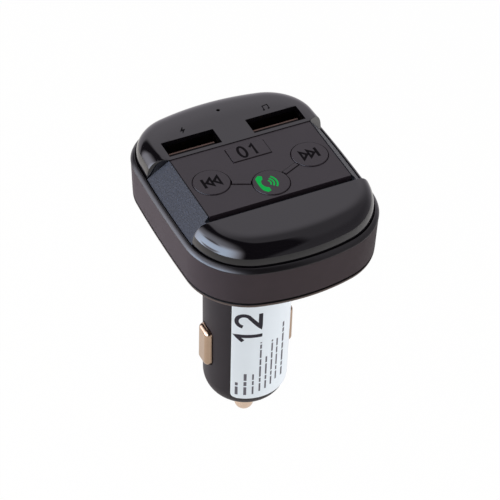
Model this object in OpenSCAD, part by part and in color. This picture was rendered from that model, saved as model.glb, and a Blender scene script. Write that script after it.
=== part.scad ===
// Car FM transmitter: a twelve volt socket plug that carries a head with a display window, four keys
// and two USB ports.
// Frame: the origin is on the plug's axis at the head's underside. +Z points up out of the button panel, +Y to the
// USB side and +X to the right of someone who reads the display. All lengths are millimetres.

/* [Head] */
// Length of the head in front of the panel's groove, where the display window is
window_l = 14.1; // [13.5:0.1:18]
// Length of the head behind the panel, where the USB ports are
cap_l = 20.8; // [19:0.1:26]
// Height of the button panel above the head's underside
head_h = 17.6; // [16.6:0.1:20]
// Distance of the head's widest place in front of the plug's axis
widest_shift = 4; // [2:0.1:5]
// Radius of the head's front corners in plan
front_corner_r = 15.3; // [13:0.1:17]
// Radius of the head's rear corners in plan
back_corner_r = 12.9; // [11:0.1:15]
// Radius of the slow curve of the long sides
side_bulge_r = 356; // [200:4:500]
// Radius of the slow curve of the front end
front_bulge_r = 47; // [44:1:90]
// Radius of the slow curve of the rear end
back_bulge_r = 60; // [50:1:110]
// Wall thickness of the housing
housing_t = 1.45; // [1.2:0.05:1.8]
// How far the housing's wall leans in from its top to its foot
housing_draft = 0.35; // [0.2:0.05:1]

/* [Trim ring and shells] */
// Height of the trim ring's widest line above the underside
ring_h = 10.8; // [10.4:0.1:11.6]
// Height of the ring's upright edge
ring_edge_h = 0.2; // [0.1:0.05:0.4]
// Rise of the ring's rounded edge
ring_rise = 0.95; // [0.5:0.05:1.2]
// Width of the ring in plan
ring_w = 1.05; // [0.9:0.05:1.8]
// Width of the dark gap inside the ring
ring_gap = 0.2; // [0.15:0.05:0.5]
// Width in plan of the rounded edge of the glossy shells
crown_w = 4.35; // [3.5:0.05:5]
// Width in plan of the rear cap's slope towards its rear end
cap_slope_w = 10.8; // [6:0.1:12]
// Fullness of the rounded edges, where 2 is an ellipse
crown_power = 2.35; // [2:0.05:2.8]
// How far the rear cap's ends sweep back between the panel and the ring
cap_sweep = 2.7; // [1:0.1:3]
// How far the window's ends sweep back between the panel and the ring
window_sweep = 0.8; // [0.3:0.1:1.2]
// Thickness of the glossy shells
shell_t = 1.3; // [1:0.1:1.5]
// Height of the rear cap's top above the button panel
cap_rise = 0.2; // [0.2:0.1:0.8]
// Height of the bottom cover that shows below the seam
cover_h = 1.6; // [1.5:0.1:2]
// Thickness of the bottom cover's floor
cover_floor_t = 1.4; // [1.2:0.1:1.5]
// Radius of the bottom cover's rounded edge
cover_edge_r = 1.2; // [0.8:0.1:1.4]
// Height of the seam between cover and housing
seam_h = 0.2; // [0.1:0.05:0.4]

/* [Button panel] */
// Distance of the panel's front edge from the plug's axis
panel_front = 15.2; // [15:0.1:16]
// Distance of the panel's rear edge from the plug's axis
panel_back = 5.5; // [5:0.1:5.6]
// Thickness of the inlaid panel
panel_t = 1.5; // [1.2:0.1:1.8]
// Width of the groove between panel and display window
groove_w = 1.7; // [1.2:0.1:2]
// Depth of the groove where it runs out through the flanks
groove_d = 1.1; // [0.6:0.1:1.4]
// Diameter of the round keys
key_d = 8.4; // [7.6:0.1:8.6]
// Distance from the previous and next keys to the panel's edge
side_key_gap = 1.3; // [0.9:0.1:2]
// How far the previous and next keys sit behind the call key
side_key_rise = 5.3; // [4.6:0.1:6]
// Distance from the call key to the panel's front edge
call_key_gap = 0.6; // [0.5:0.1:1.2]
// Width of the channel key
channel_w = 9.3; // [8:0.1:10]
// Depth of the channel key
channel_d = 4.7; // [4:0.1:5]
// Distance from the channel key to the panel's rear edge
channel_gap = 1.75; // [1.3:0.05:2.2]
// Height of the keys above the panel
key_proud = 0.1; // [0:0.05:0.3]
// Travel of the keys
key_travel = 0.4; // [0.25:0.05:0.5]
// Width of the strips that link the round keys
link_w = 1.1; // [0.8:0.1:1.4]

/* [USB ports] */
// Width of the cap between the two port openings
usb_bridge_w = 8; // [6:0.2:14]
// Distance from a port opening to the side edge of the flat top
usb_side_gap = 0.7; // [0.5:0.1:2]
// Width of the strip of cap between the panel and the port openings
usb_front_gap = 1; // [0.8:0.05:1.6]
// Width of the opening in a port's metal shell
usb_w = 12.5; // [12.4:0.05:12.6]
// Depth of the opening in a port's metal shell
usb_d = 5.1; // [5:0.05:5.2]
// Thickness of the port's metal shell
usb_shell_t = 0.3; // [0.2:0.05:0.35]
// Width of the contact tongue
usb_tongue_w = 11.1; // [10.8:0.1:11.4]
// Thickness of the contact tongue
usb_tongue_t = 1.84; // [1.7:0.02:2]
// Gap between the tongue and the front of the shell
usb_tongue_gap = 0.7; // [0.6:0.05:0.8]
// Diameter of the microphone hole in the rear cap
mic_hole_d = 0.9; // [0.6:0.1:1.2]
// Distance of the microphone hole behind the panel
mic_gap = 11.9; // [11:0.1:12.5]

/* [Plug barrel] */
// Diameter of the barrel's upper land, which fills the mouth of a vehicle socket
land_d = 20.9; // [20.6:0.05:21]
// Length of the upper land
land_l = 16; // [12:0.5:20]
// How much the barrel's radius shrinks from the land to the nose
barrel_taper = 0.4; // [0.2:0.05:0.6]
// Length of the barrel below the head
barrel_l = 54; // [52:0.5:58]
// Radius of the rounded nose
nose_r = 6.5; // [5:0.1:7]
// Thickness of the barrel's wall where the nose begins
barrel_wall_t = 1.65; // [1.3:0.05:1.9]
// Thickness of the barrel's flange inside the head
flange_t = 1.2; // [1:0.1:1.4]
// Width of the barrel's flange beyond the land
flange_w = 2; // [1.5:0.1:3]

/* [Contacts] */
// Height of a side contact
contact_h = 11; // [9.5:0.5:12]
// Width of a side contact
contact_w = 4.8; // [4:0.1:5.4]
// Height of a side contact's middle above the nose's end
contact_up = 17.6; // [17.2:0.1:19]
// How far a side contact stands proud of the barrel
contact_proud = 1.3; // [1:0.1:1.5]
// Travel of a side contact
contact_travel = 1.4; // [1:0.1:1.6]
// Diameter of the centre tip
tip_d = 4.7; // [4.2:0.1:5]
// Length of the centre tip beyond the nose
tip_l = 7.5; // [6:0.1:8]
// Travel of the centre tip
tip_travel = 4; // [2.5:0.1:4.5]
// Diameter of the tip spring's wire
spring_wire_d = 0.6; // [0.4:0.1:0.7]
// Diameter of the wire of the side contacts' springs
side_wire_d = 0.3; // [0.25:0.05:0.4]
// Turns of the side contacts' springs
side_turns = 7; // [5:1:8]

/* [Label] */
// Distance of the label's top edge below the land
label_gap = 1; // [0.5:0.5:6]
// Height of the label's lower edge above the nose's end
label_up = 5; // [4:0.5:12]
// Angle that the label covers round the barrel
label_angle = 118; // [90:1:118]
// Angle of the label's left edge round the axis, from +X towards +Y
label_from = 225; // [224:1:226]
// Thickness of the label
label_t = 0.12; // [0.08:0.01:0.2]

/* [Electronics] */
// Gap between the barrel's flange and the main board
board_gap = 0.4; // [0.2:0.1:0.6]
// Thickness of both circuit boards
board_t = 1.2; // [1:0.1:1.6]
// Width and depth of a key switch
switch_w = 6; // [5:0.1:6.2]
// Height of a key switch's body
switch_h = 3.5; // [3:0.1:4]
// Diameter of a key switch's stem
stem_d = 3.4; // [3:0.1:3.6]
// Height of a switch's stem above its body
stem_up = 1.3; // [1:0.1:2]
// Width of the display module
display_w = 22; // [18:0.5:23]
// Distance from the display module to the head's front line
display_gap = 6.65; // [6.5:0.05:8]
// Height of the display module's body
display_h = 6.2; // [5:0.1:7]
// Diameter of the microphone capsule
mic_d = 5; // [4:0.5:6]
// Height of the microphone capsule
mic_h = 2.4; // [1.5:0.1:3]
// Diameter of the input capacitor's can
can_d = 6.3; // [5:0.1:6.5]
// Length of the input capacitor's can
can_l = 11; // [8:0.5:12]
// Width of the inductor
coil_w = 7; // [5:0.5:8]
// Height of the inductor above its board
coil_h = 3.8; // [3:0.1:4.5]
// Thread diameter of the board screws
screw_d = 1.9; // [1.6:0.1:2]

/* [Hidden] */
$fn = 64;

// One overrun for every cut, and the clearances that pairs of pieces share
cut = 1;
fit_gap = 0.15;
slide_gap = 0.25;
rest_gap = 0.05;

// Steps of the head's outline in each quarter, and of the rounded edges
side_steps = 3;
corner_steps = 8;
end_steps = 3;
crown_steps = 6;
edge_steps = 3;
ring_steps = 4;
ring_land_share = 0.9;
nose_steps = 10;

// Levels of the head, from its underside up
housing_foot_z = cover_h + seam_h;
housing_top_z = ring_h - ring_edge_h;
ledge_t = housing_t * 0.8;
seat_z = housing_top_z;
line_z = ring_h + ring_rise;
panel_z = head_h;
cap_z = panel_z + cap_rise;
floor_z = panel_z - panel_t;
deck_t = panel_t;
deck_under_z = floor_z - deck_t;

// Insets from the ring's widest line
wall_top_inset = 0.05;
shell_inset = ring_w + ring_gap;
flat_inset = shell_inset + crown_w;
usb_hole_w = usb_w + 2 * fit_gap;
flank_x = usb_bridge_w / 2 + usb_hole_w + usb_side_gap;
half_w = flank_x + flat_inset;
head_w = 2 * half_w;
cover_inset = wall_top_inset + housing_draft + rest_gap;
lip_inset = cover_inset + housing_t + fit_gap;
lip_t = housing_t * 0.8;
lip_h = cover_h + seam_h + 0.8 * cover_h;
ledge_inset = shell_inset + 2 * housing_t * 0.8;
board_inset = lip_inset + lip_t + 2 * fit_gap;

// Places along the head
window_y = -panel_front - groove_w;
front_y = window_y - window_l;
back_y = panel_back + cap_l;
head_d = back_y - front_y;
usb_x = (usb_bridge_w + usb_hole_w) / 2;
usb_y = panel_back + usb_front_gap + usb_d / 2;
mic_y = panel_back + mic_gap;
deck_front_y = window_y + rest_gap;
deck_back_y = panel_back - rest_gap;
end_wall_t = usb_front_gap - usb_shell_t - 2 * rest_gap;

// Each end of the outline as its distance from the widest place, its corner radius and its bulge radius
front_end = [-front_y - widest_shift, front_corner_r, front_bulge_r];
back_end = [back_y + widest_shift, back_corner_r, back_bulge_r];
side_c = [half_w - side_bulge_r, 0];

// Keys
key_r = key_d / 2;
side_key_x = flank_x - side_key_gap - key_r;
call_key_y = panel_front - call_key_gap - key_r;
side_key_y = call_key_y - side_key_rise;
channel_y = panel_back - channel_gap - channel_d / 2;
key_flange = 0.45;
key_flange_t = panel_t * 2 / 3;
key_edge = 0.25;
side_key = [side_key_x, -side_key_y];
call_key = [0, -call_key_y];
channel_key = [0, channel_y];
board_z = cover_floor_t + flange_t + board_gap;
board_top_z = board_z + board_t;
switch_top_z = board_top_z + switch_h;
stem_top_z = switch_top_z + stem_up;
stem_foot_z = board_top_z + key_travel + 3 * fit_gap;
plunger_d = stem_d;

// USB ports
usb_rim_z = cap_z - shell_t - 2 * rest_gap;
usb_base_t = usb_shell_t * 3.7;
usb_tongue_y = usb_y - usb_d / 2 + usb_tongue_gap;
usb_pin_w = 1;
usb_pin_t = 0.15;
usb_pin_outer = 3.5;
usb_pin_inner = 1;
usb_window_w = 2;
usb_window_h = 4;

// Barrel
land_r = land_d / 2;
low_r = land_r - barrel_taper;
bore_r = low_r - barrel_wall_t;
nose_z = -barrel_l;
nose_start_z = nose_z + nose_r;
neck_gap = 0.2;
contact_z = nose_z + contact_up;
contact_lip = 1.2;
contact_corner_r = contact_w * 0.27;
contact_edge_r = contact_proud * 0.7;
contact_tab_t = 0.75;
contact_back_x = bore_r - fit_gap - contact_tab_t;
cavity_foot_z = nose_start_z - nose_r * 0.23;
tip_r = tip_d / 2;
tip_flange_w = 1.25;
tip_flange_r = tip_r + tip_flange_w;
tip_flange_t = 1;
chamber_r = tip_flange_r + 2 * slide_gap;
chamber_foot_z = nose_z + 0.4 * nose_r;
sleeve_gap = 0.9;
sleeve_r = contact_back_x - contact_travel - sleeve_gap;
side_spring_r = 1.3;
side_spring_steps = 10;
tip_seat_t = 0.8;
power_foot_z = contact_z - side_spring_r - side_wire_d / 2 - fit_gap;
sleeve_top_z = power_foot_z - tip_seat_t;
spring_r = tip_r + spring_wire_d * 0.4;
spring_l = sleeve_top_z - chamber_foot_z - tip_flange_t;
spring_reserve = 2.6;
spring_turns = floor((spring_l - tip_travel - spring_reserve) / spring_wire_d);
spring_steps = 14;
spring_sides = 6;
power_top_z = board_z - 2 * rest_gap;

// Inside the head
boss_r = screw_d * 1.2;
boss_reach = 1.4;
boss_x = flank_x + boss_reach - boss_r;
boss_front_y = -panel_front + boss_r * 1.15;
boss_back_y = panel_back - boss_r * 1.2;
screw_head_r = screw_d;
screw_head_h = screw_d * 0.58;
screw_l = 3 * screw_d;
display_d = window_l - shell_t - fit_gap - display_gap;
display_y = front_y + display_gap + display_d / 2;
display_top_z = panel_z - shell_t - 6 * fit_gap;
display_foot_z = display_top_z - display_h;
display_pins = 6;
display_pin_r = 0.25;
display_pin_pitch = display_w * 0.15;
display_pin_y = display_d * 0.36;
header_pins = 3;
header_l = 6;
header_pin_y = header_l / header_pins;
header_pin_r = 0.3;
header_w = 2;
header_h = 2.4;
header_z = -header_h;
header_y = (channel_y - call_key_y) / 2;
chip_w = 6;
chip_t = 0.9;
chip_at = [side_key_x * 0.75, -call_key_y * 1.5];
crystal_size = [3.2, 2.5, 0.8];
crystal_at = [-side_key_x * 0.75, -call_key_y * 1.5];
inductor_z = -coil_w * 1.4;
can_z = -can_l * 1.5;
regulator_z = -coil_w * 3.1;

function turn(angle) = [cos(angle), sin(angle)];
function end_centre(end) = [0, end[0] - end[2]];

// Centre of the corner arc that touches the side arc and the end arc, which are drawn in by their own insets
function corner_centre(end, inset, end_inset) =
    let (
        end_c = end_centre(end),
        side_reach = side_bulge_r - end[1],
        end_reach = end[2] - end_inset - end[1] + inset,
        span = norm(end_c - side_c),
        way = (end_c - side_c) / span,
        along = (side_reach * side_reach - end_reach * end_reach + span * span) / (2 * span)
    )
    side_c + along * way + sqrt(side_reach * side_reach - along * along) * [-way[1], way[0]];

// A quarter of the outline, from the widest place on the +X side to the middle of an end
function quarter(end, inset, end_inset) =
    let (
        end_c = end_centre(end),
        corner_c = corner_centre(end, inset, end_inset),
        side_turn = atan2(corner_c[1], corner_c[0] - side_c[0]),
        end_turn = atan2(corner_c[1] - end_c[1], corner_c[0])
    )
    concat(
        [for (i = [0:side_steps]) side_c + (side_bulge_r - inset) * turn(side_turn * i / side_steps)],
        [for (i = [1:corner_steps])
            corner_c + (end[1] - inset) * turn(side_turn + (end_turn - side_turn) * i / corner_steps)],
        [for (i = [1:end_steps])
            end_c + (end[2] - end_inset) * turn(end_turn + (90 - end_turn) * i / end_steps)]
    );

// The head's outline, drawn in by an inset, as one loop of points that starts on the +X side
function head_outline(inset, end_inset) =
    let (b = quarter(back_end, inset, end_inset), f = quarter(front_end, inset, end_inset), last = len(b) - 1)
    [for (p = concat(
        b,
        [for (i = [1:last]) [-b[last - i][0], b[last - i][1]]],
        [for (i = [1:last]) [-f[i][0], -f[i][1]]],
        [for (i = [1:last - 1]) [f[last - i][0], -f[last - i][1]]]
    )) [p[0], p[1] - widest_shift]];

// Half of the head's width at a place along Y, drawn in by an inset
function half_width(y, inset) =
    let (
        along = abs(y + widest_shift),
        end = y + widest_shift > 0 ? back_end : front_end,
        corner_c = corner_centre(end, inset, inset),
        side_r = side_bulge_r - inset,
        corner_r = end[1] - inset,
        side_turn = atan2(corner_c[1], corner_c[0] - side_c[0])
    )
    along < side_r * sin(side_turn)
        ? side_c[0] + sqrt(side_r * side_r - along * along)
        : corner_c[0] + sqrt(corner_r * corner_r - (along - corner_c[1]) * (along - corner_c[1]));

// Triangles between rings of equal length that are stacked one after another, with a flat cap on each end
function stack_faces(count, rings) = concat(
    [[for (i = [0:count - 1]) i]],
    [for (k = [0:rings - 2], i = [0:count - 1])
        [k * count + i, (k + 1) * count + i, (k + 1) * count + (i + 1) % count]],
    [for (k = [0:rings - 2], i = [0:count - 1])
        [k * count + i, (k + 1) * count + (i + 1) % count, k * count + (i + 1) % count]],
    [[for (i = [0:count - 1]) (rings - 1) * count + count - 1 - i]]
);

// A solid whose outline steps through levels of [inset, height], or [inset, height, inset of the ends]
module head_loft(levels) {
    rings = [for (level = levels)
        let (end_inset = len(level) > 2 ? level[2] : level[0])
        [for (p = head_outline(level[0], end_inset)) [p[0], p[1], level[1]]]];
    polyhedron([for (ring = rings) for (p = ring) p], stack_faces(len(rings[0]), len(rings)));
}

module head_prism(inset, low, high) {
    translate([0, 0, low]) linear_extrude(high - low) polygon(head_outline(inset, inset));
}

// The glossy shells' outside: an upright skirt, a rounded edge and a flat top. The end's edge has its own width
module crown(top, end_w) {
    share = 2 / crown_power;
    head_loft(concat(
        [[shell_inset, seat_z]],
        [for (i = [0:crown_steps])
            let (a = 90 * i / crown_steps, in_share = 1 - pow(cos(a), share), up_share = pow(sin(a), share))
            [
                shell_inset + crown_w * in_share,
                line_z + (top - line_z) * up_share,
                shell_inset + end_w * in_share
            ]]
    ));
}

// The glossy shells' inside, which stays one wall thickness in from the outside
module crown_hollow(top, end_w) {
    foot_share = 0.08;
    shoulder_share = 0.6;
    top_share = 0.8;
    shoulder_z = top - shell_t * 1.4;
    skirt_inset = shell_inset + shell_t * 1.1;
    head_loft([
        [skirt_inset, seat_z - cut],
        [skirt_inset, (line_z + shoulder_z) / 2, skirt_inset + end_w * foot_share],
        [shell_inset + crown_w * shoulder_share, shoulder_z, shell_inset + end_w * shoulder_share],
        [shell_inset + crown_w * top_share, top - shell_t, shell_inset + end_w * top_share]
    ]);
}

// The line in plan where a shell ends: straight across the panel, then swept back over each flank
function shell_line(y, sweep) =
    let (reach = head_w - flank_x, lean = sweep * reach / crown_w)
    [[-head_w, y + lean], [-flank_x, y], [flank_x, y], [head_w, y + lean]];

// Everything in front of, or behind, such a line
module front_of(y, sweep) {
    translate([0, 0, -cut]) linear_extrude(2 * head_h)
        polygon(concat([[head_w, -head_d], [-head_w, -head_d]], shell_line(y, sweep)));
}

module behind(y, sweep) {
    translate([0, 0, -cut]) linear_extrude(2 * head_h)
        polygon(concat(shell_line(y, sweep), [[head_w, 2 * head_d], [-head_w, 2 * head_d]]));
}

module both_sides() {
    children();
    mirror([1, 0, 0]) children();
}

module box_at(centre, size) {
    translate([centre[0] - size[0] / 2, centre[1] - size[1] / 2, centre[2]]) cube(size);
}

module bottom_cover() {
    color([0.2, 0.18, 0.18]) difference() {
        union() {
            head_loft(concat(
                [for (i = [0:edge_steps])
                    let (a = 90 * i / edge_steps)
                    [cover_inset + cover_edge_r * (1 - sin(a)), cover_edge_r * (1 - cos(a))]],
                [[cover_inset, cover_h]]
            ));
            head_prism(lip_inset, cover_h - rest_gap, lip_h);
        }
        head_prism(lip_inset + lip_t, cover_floor_t, lip_h + cut);
        translate([0, 0, -cut]) cylinder(r = land_r + fit_gap, h = cover_h + 2 * cut);
    }
}

module mid_housing() {
    foot_inset = wall_top_inset + housing_draft;
    lean = housing_draft / (housing_top_z - housing_foot_z);
    color([0.22, 0.19, 0.19]) union() {
        difference() {
            head_loft([[foot_inset, housing_foot_z], [wall_top_inset, housing_top_z]]);
            head_loft([
                [foot_inset + housing_t + lean * cut, housing_foot_z - cut],
                [wall_top_inset + housing_t - lean * cut, housing_top_z + cut]
            ]);
        }
        difference() {
            head_prism(wall_top_inset + housing_t / 2, seat_z - ledge_t, seat_z);
            head_prism(ledge_inset, seat_z - ledge_t - cut, seat_z + cut);
        }
    }
}

module trim_ring() {
    color([0.17, 0.16, 0.19]) difference() {
        head_loft(concat(
            [[0, housing_top_z]],
            [for (i = [0:ring_steps])
                let (a = 90 * i / ring_steps)
                [ring_w * ring_land_share * (1 - cos(a)), ring_h + ring_rise * sin(a)]]
        ));
        head_prism(ring_w, housing_top_z - cut, line_z + cut);
    }
}

// The bridge with two sloped flanks that carries the panel, the keys and the screw bosses
module key_deck() {
    stations = 10;
    last_y = deck_back_y + cap_sweep + rest_gap;
    deck_l = last_y - deck_front_y;
    places = [for (i = [0:stations]) deck_front_y + deck_l * i / stations];
    sections = [for (y = places) let (x = half_width(y, shell_inset)) [
        [-x, y, seat_z], [-x, y, line_z], [-flank_x, y, panel_z],
        [flank_x, y, panel_z], [x, y, line_z], [x, y, seat_z]
    ]];
    foot_x = half_width(deck_front_y, shell_inset) - housing_t * 1.1;
    color([0.2, 0.2, 0.22]) difference() {
        union() {
            difference() {
                polyhedron(
                    [for (section = sections) for (p = section) p],
                    stack_faces(len(sections[0]), len(sections))
                );
                translate([0, last_y + cut, 0]) rotate([90, 0, 0]) linear_extrude(deck_l + 2 * cut) polygon([
                    [-foot_x, seat_z - cut], [foot_x, seat_z - cut],
                    [flank_x - deck_t / 2, deck_under_z], [-flank_x + deck_t / 2, deck_under_z]
                ]);
                behind(deck_back_y, cap_sweep);
                front_of(deck_front_y, window_sweep);
            }
            both_sides() for (y = [boss_front_y, boss_back_y])
                translate([boss_x, y, board_top_z])
                    cylinder(r = boss_r, h = deck_under_z + deck_t / 2 - board_top_z);
        }
        translate([-flank_x + fit_gap, deck_front_y - cut, floor_z])
            cube([2 * (flank_x - fit_gap), deck_back_y - deck_front_y + 2 * cut, panel_t + cut]);
        translate([-head_w / 2, window_y - cut, panel_z - groove_d])
            cube([head_w, groove_w + cut, groove_d + cut]);
        key_places() translate([0, 0, deck_under_z - cut])
            cylinder(r = key_r + key_flange + fit_gap, h = deck_t + 2 * cut);
        box_at([channel_key[0], channel_key[1], deck_under_z - cut], [
            channel_w + 2 * (key_flange + fit_gap), channel_d + 2 * (key_flange + fit_gap), deck_t + 2 * cut
        ]);
        both_sides() for (y = [boss_front_y, boss_back_y])
            translate([boss_x, y, board_top_z - cut])
                cylinder(r = screw_d / 2 + rest_gap, h = screw_l + cut + 2 * rest_gap);
    }
}

module key_places() {
    both_sides() translate([side_key[0], side_key[1], 0]) children();
    translate([call_key[0], call_key[1], 0]) children();
}

module key_panel() {
    color([0.24, 0.22, 0.23]) difference() {
        translate([-flank_x + 2 * fit_gap, -panel_front, floor_z])
            cube([2 * (flank_x - 2 * fit_gap), deck_back_y + panel_front, panel_t]);
        key_places() translate([0, 0, floor_z - cut]) cylinder(r = key_r + fit_gap, h = panel_t + 2 * cut);
        box_at([channel_key[0], channel_key[1], floor_z - cut], [
            channel_w + 2 * fit_gap, channel_d + 2 * fit_gap, panel_t + 2 * cut
        ]);
        both_sides() link_bar(fit_gap, floor_z - cut, panel_t + 2 * cut);
    }
}

// A straight bar from the call key to a side key, widened by a margin
module link_bar(margin, low, height) {
    way = side_key - call_key;
    start = key_r + slide_gap - margin;
    translate([call_key[0], call_key[1], low]) rotate([0, 0, atan2(way[1], way[0])])
        translate([start, -link_w / 2 - margin, 0])
            cube([norm(way) - 2 * start, link_w + 2 * margin, height]);
}

module key_links() {
    color([0.24, 0.22, 0.23]) both_sides() link_bar(0, floor_z, panel_t);
}

module usb_cap() {
    color([0.16, 0.15, 0.17]) difference() {
        union() {
            difference() {
                intersection() {
                    crown(cap_z, cap_slope_w);
                    behind(panel_back, cap_sweep);
                }
                intersection() {
                    crown_hollow(cap_z, cap_slope_w);
                    behind(panel_back + end_wall_t, cap_sweep);
                }
            }
            translate([0, mic_y, cap_z - shell_t - mic_h])
                cylinder(d = mic_d + 2 * shell_t * 0.6, h = mic_h + shell_t * 0.15);
        }
        both_sides() box_at([usb_x, usb_y, cap_z - shell_t - cut], [usb_hole_w, usb_d, shell_t + 2 * cut]);
        translate([0, mic_y, cap_z - shell_t - mic_h - cut])
            cylinder(d = mic_d + 2 * rest_gap, h = mic_h + cut);
        translate([0, mic_y, cap_z - shell_t - cut]) cylinder(d = mic_hole_d, h = shell_t + 2 * cut);
    }
}

module display_window() {
    color([0.14, 0.13, 0.16]) difference() {
        intersection() {
            crown(panel_z, crown_w);
            front_of(window_y, window_sweep);
        }
        intersection() {
            crown_hollow(panel_z, crown_w);
            front_of(window_y - shell_t * 0.85, window_sweep);
        }
    }
}

// A round key: a cap with a softened rim, a flange that stops it under the panel, and a plunger
module round_key(at) {
    color([0.23, 0.21, 0.22]) translate([at[0], at[1], 0]) rotate_extrude() polygon([
        [0, stem_top_z], [plunger_d / 2, stem_top_z], [plunger_d / 2, floor_z - key_flange_t],
        [key_r + key_flange, floor_z - key_flange_t], [key_r + key_flange, floor_z], [key_r, floor_z],
        [key_r, panel_z + key_proud - key_edge], [key_r - key_edge, panel_z + key_proud],
        [0, panel_z + key_proud]
    ]);
}

module previous_button() {
    round_key([-side_key[0], side_key[1]]);
}

module next_button() {
    round_key(side_key);
}

module call_button() {
    round_key(call_key);
}

module channel_button() {
    color([0.23, 0.21, 0.22]) union() {
        box_at([channel_key[0], channel_key[1], floor_z - key_flange_t / 2], [
            channel_w, channel_d, panel_t + key_proud + key_flange_t / 2
        ]);
        box_at([channel_key[0], channel_key[1], floor_z - key_flange_t], [
            channel_w + 2 * key_flange, channel_d + 2 * key_flange, key_flange_t
        ]);
        translate([channel_key[0], channel_key[1], stem_top_z])
            cylinder(d = plunger_d, h = floor_z - key_flange_t / 2 - stem_top_z);
    }
}

module switch_stem(at) {
    color([0.75, 0.73, 0.68]) translate([at[0], at[1], stem_foot_z])
        cylinder(d = stem_d, h = stem_top_z - stem_foot_z);
}

module key_switch(at) {
    color([0.12, 0.12, 0.13]) difference() {
        box_at([at[0], at[1], board_top_z], [switch_w, switch_w, switch_h]);
        translate([at[0], at[1], stem_foot_z - key_travel - fit_gap])
            cylinder(d = stem_d + 2 * fit_gap, h = switch_h + cut);
    }
}

module previous_switch_stem() {
    switch_stem([-side_key[0], side_key[1]]);
}

module next_switch_stem() {
    switch_stem(side_key);
}

module call_switch_stem() {
    switch_stem(call_key);
}

module channel_switch_stem() {
    switch_stem(channel_key);
}

module previous_switch() {
    key_switch([-side_key[0], side_key[1]]);
}

module next_switch() {
    key_switch(side_key);
}

module call_switch() {
    key_switch(call_key);
}

module channel_switch() {
    key_switch(channel_key);
}

module main_board() {
    color([0.05, 0.3, 0.16]) difference() {
        head_prism(board_inset, board_z, board_top_z);
        both_sides() for (y = [boss_front_y, boss_back_y])
            translate([boss_x, y, board_z - cut]) cylinder(r = screw_d / 2 + fit_gap, h = board_t + 2 * cut);
        display_pin_places() translate([0, 0, board_z - cut])
            cylinder(r = display_pin_r + fit_gap, h = board_t + 2 * cut);
        header_places() translate([0, 0, board_z - cut])
            cylinder(r = header_pin_r + fit_gap, h = board_t + 2 * cut);
    }
}

// Pan-head screws that come up through the board into the deck's bosses
module board_screws() {
    color([0.62, 0.62, 0.65]) both_sides() for (y = [boss_front_y, boss_back_y])
        translate([boss_x, y, 0]) union() {
            translate([0, 0, board_z - screw_head_h]) cylinder(r = screw_head_r, h = screw_head_h);
            translate([0, 0, board_z - screw_head_h / 2])
                cylinder(d = screw_d, h = screw_head_h / 2 + board_t + screw_l);
        }
}

module header_places() {
    for (i = [0:header_pins - 1])
        translate([board_t / 2 + header_w / 2, header_y + (i - (header_pins - 1) / 2) * header_pin_y, 0])
            children();
}

// The pin header that joins the two boards
module board_header() {
    color([0.1, 0.1, 0.1]) union() {
        translate([board_t / 2, header_y - header_l / 2, header_z])
            cube([header_w, header_l, header_h]);
        header_places() translate([0, 0, header_z + header_h / 2])
            cylinder(r = header_pin_r, h = board_top_z + board_t - header_z - header_h / 2);
    }
}

module display_pin_places() {
    for (side = [-1, 1], i = [0:display_pins - 1])
        translate([(i - (display_pins - 1) / 2) * display_pin_pitch, display_y + side * display_pin_y, 0])
            children();
}

module display_module() {
    color([0.85, 0.85, 0.84]) union() {
        box_at([0, display_y, display_foot_z], [display_w, display_d, display_h]);
        display_pin_places() translate([0, 0, board_z])
            cylinder(r = display_pin_r, h = display_foot_z - board_z + display_h / 2);
    }
}

module radio_chip() {
    color([0.08, 0.08, 0.09]) box_at([chip_at[0], chip_at[1], board_top_z], [chip_w, chip_w, chip_t]);
}

module crystal() {
    color([0.7, 0.71, 0.74]) box_at([crystal_at[0], crystal_at[1], board_top_z], crystal_size);
}

// An electret capsule in its seat under the cap, on two legs that reach the board
module microphone() {
    color([0.6, 0.6, 0.62]) union() {
        translate([0, mic_y, cap_z - shell_t - mic_h]) cylinder(d = mic_d, h = mic_h);
        both_sides() translate([mic_d / 4, mic_y, board_top_z])
            cylinder(r = display_pin_r, h = cap_z - shell_t - mic_h / 2 - board_top_z);
    }
}

module usb_shell_left() {
    mirror([1, 0, 0]) usb_shell();
}

module usb_shell_right() {
    usb_shell();
}

// A folded metal shell with two spring windows in each broad wall
module usb_shell() {
    color([0.55, 0.55, 0.57]) difference() {
        box_at([usb_x, usb_y, board_top_z], [
            usb_w + 2 * usb_shell_t, usb_d + 2 * usb_shell_t, usb_rim_z - board_top_z
        ]);
        box_at([usb_x, usb_y, board_top_z - cut], [usb_w, usb_d, usb_rim_z - board_top_z + 2 * cut]);
        for (side = [-1, 1])
            box_at([usb_x + side * usb_w / 4, usb_y, (board_top_z + usb_rim_z) / 2], [
                usb_window_w, usb_d + 2 * usb_shell_t + 2 * cut, usb_window_h
            ]);
    }
}

module usb_tongue_left() {
    mirror([1, 0, 0]) usb_tongue();
}

module usb_tongue_right() {
    usb_tongue();
}

// The moulded base and tongue inside a shell
module usb_tongue() {
    color([0.07, 0.07, 0.08]) union() {
        box_at([usb_x, usb_y, board_top_z], [usb_w - 2 * rest_gap, usb_d - 2 * rest_gap, usb_base_t]);
        translate([usb_x - usb_tongue_w / 2, usb_tongue_y, board_top_z + usb_base_t / 2])
            cube([usb_tongue_w, usb_tongue_t, usb_rim_z - rest_gap - board_top_z - usb_base_t / 2]);
    }
}

module usb_contacts_left() {
    mirror([1, 0, 0]) usb_contacts();
}

module usb_contacts_right() {
    usb_contacts();
}

module usb_contacts() {
    low = board_top_z + usb_base_t;
    color([0.83, 0.68, 0.36]) for (x = [-usb_pin_outer, -usb_pin_inner, usb_pin_inner, usb_pin_outer])
        translate([usb_x + x - usb_pin_w / 2, usb_tongue_y + usb_tongue_t, low])
            cube([usb_pin_w, usb_pin_t, usb_rim_z - shell_t - low]);
}

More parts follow.
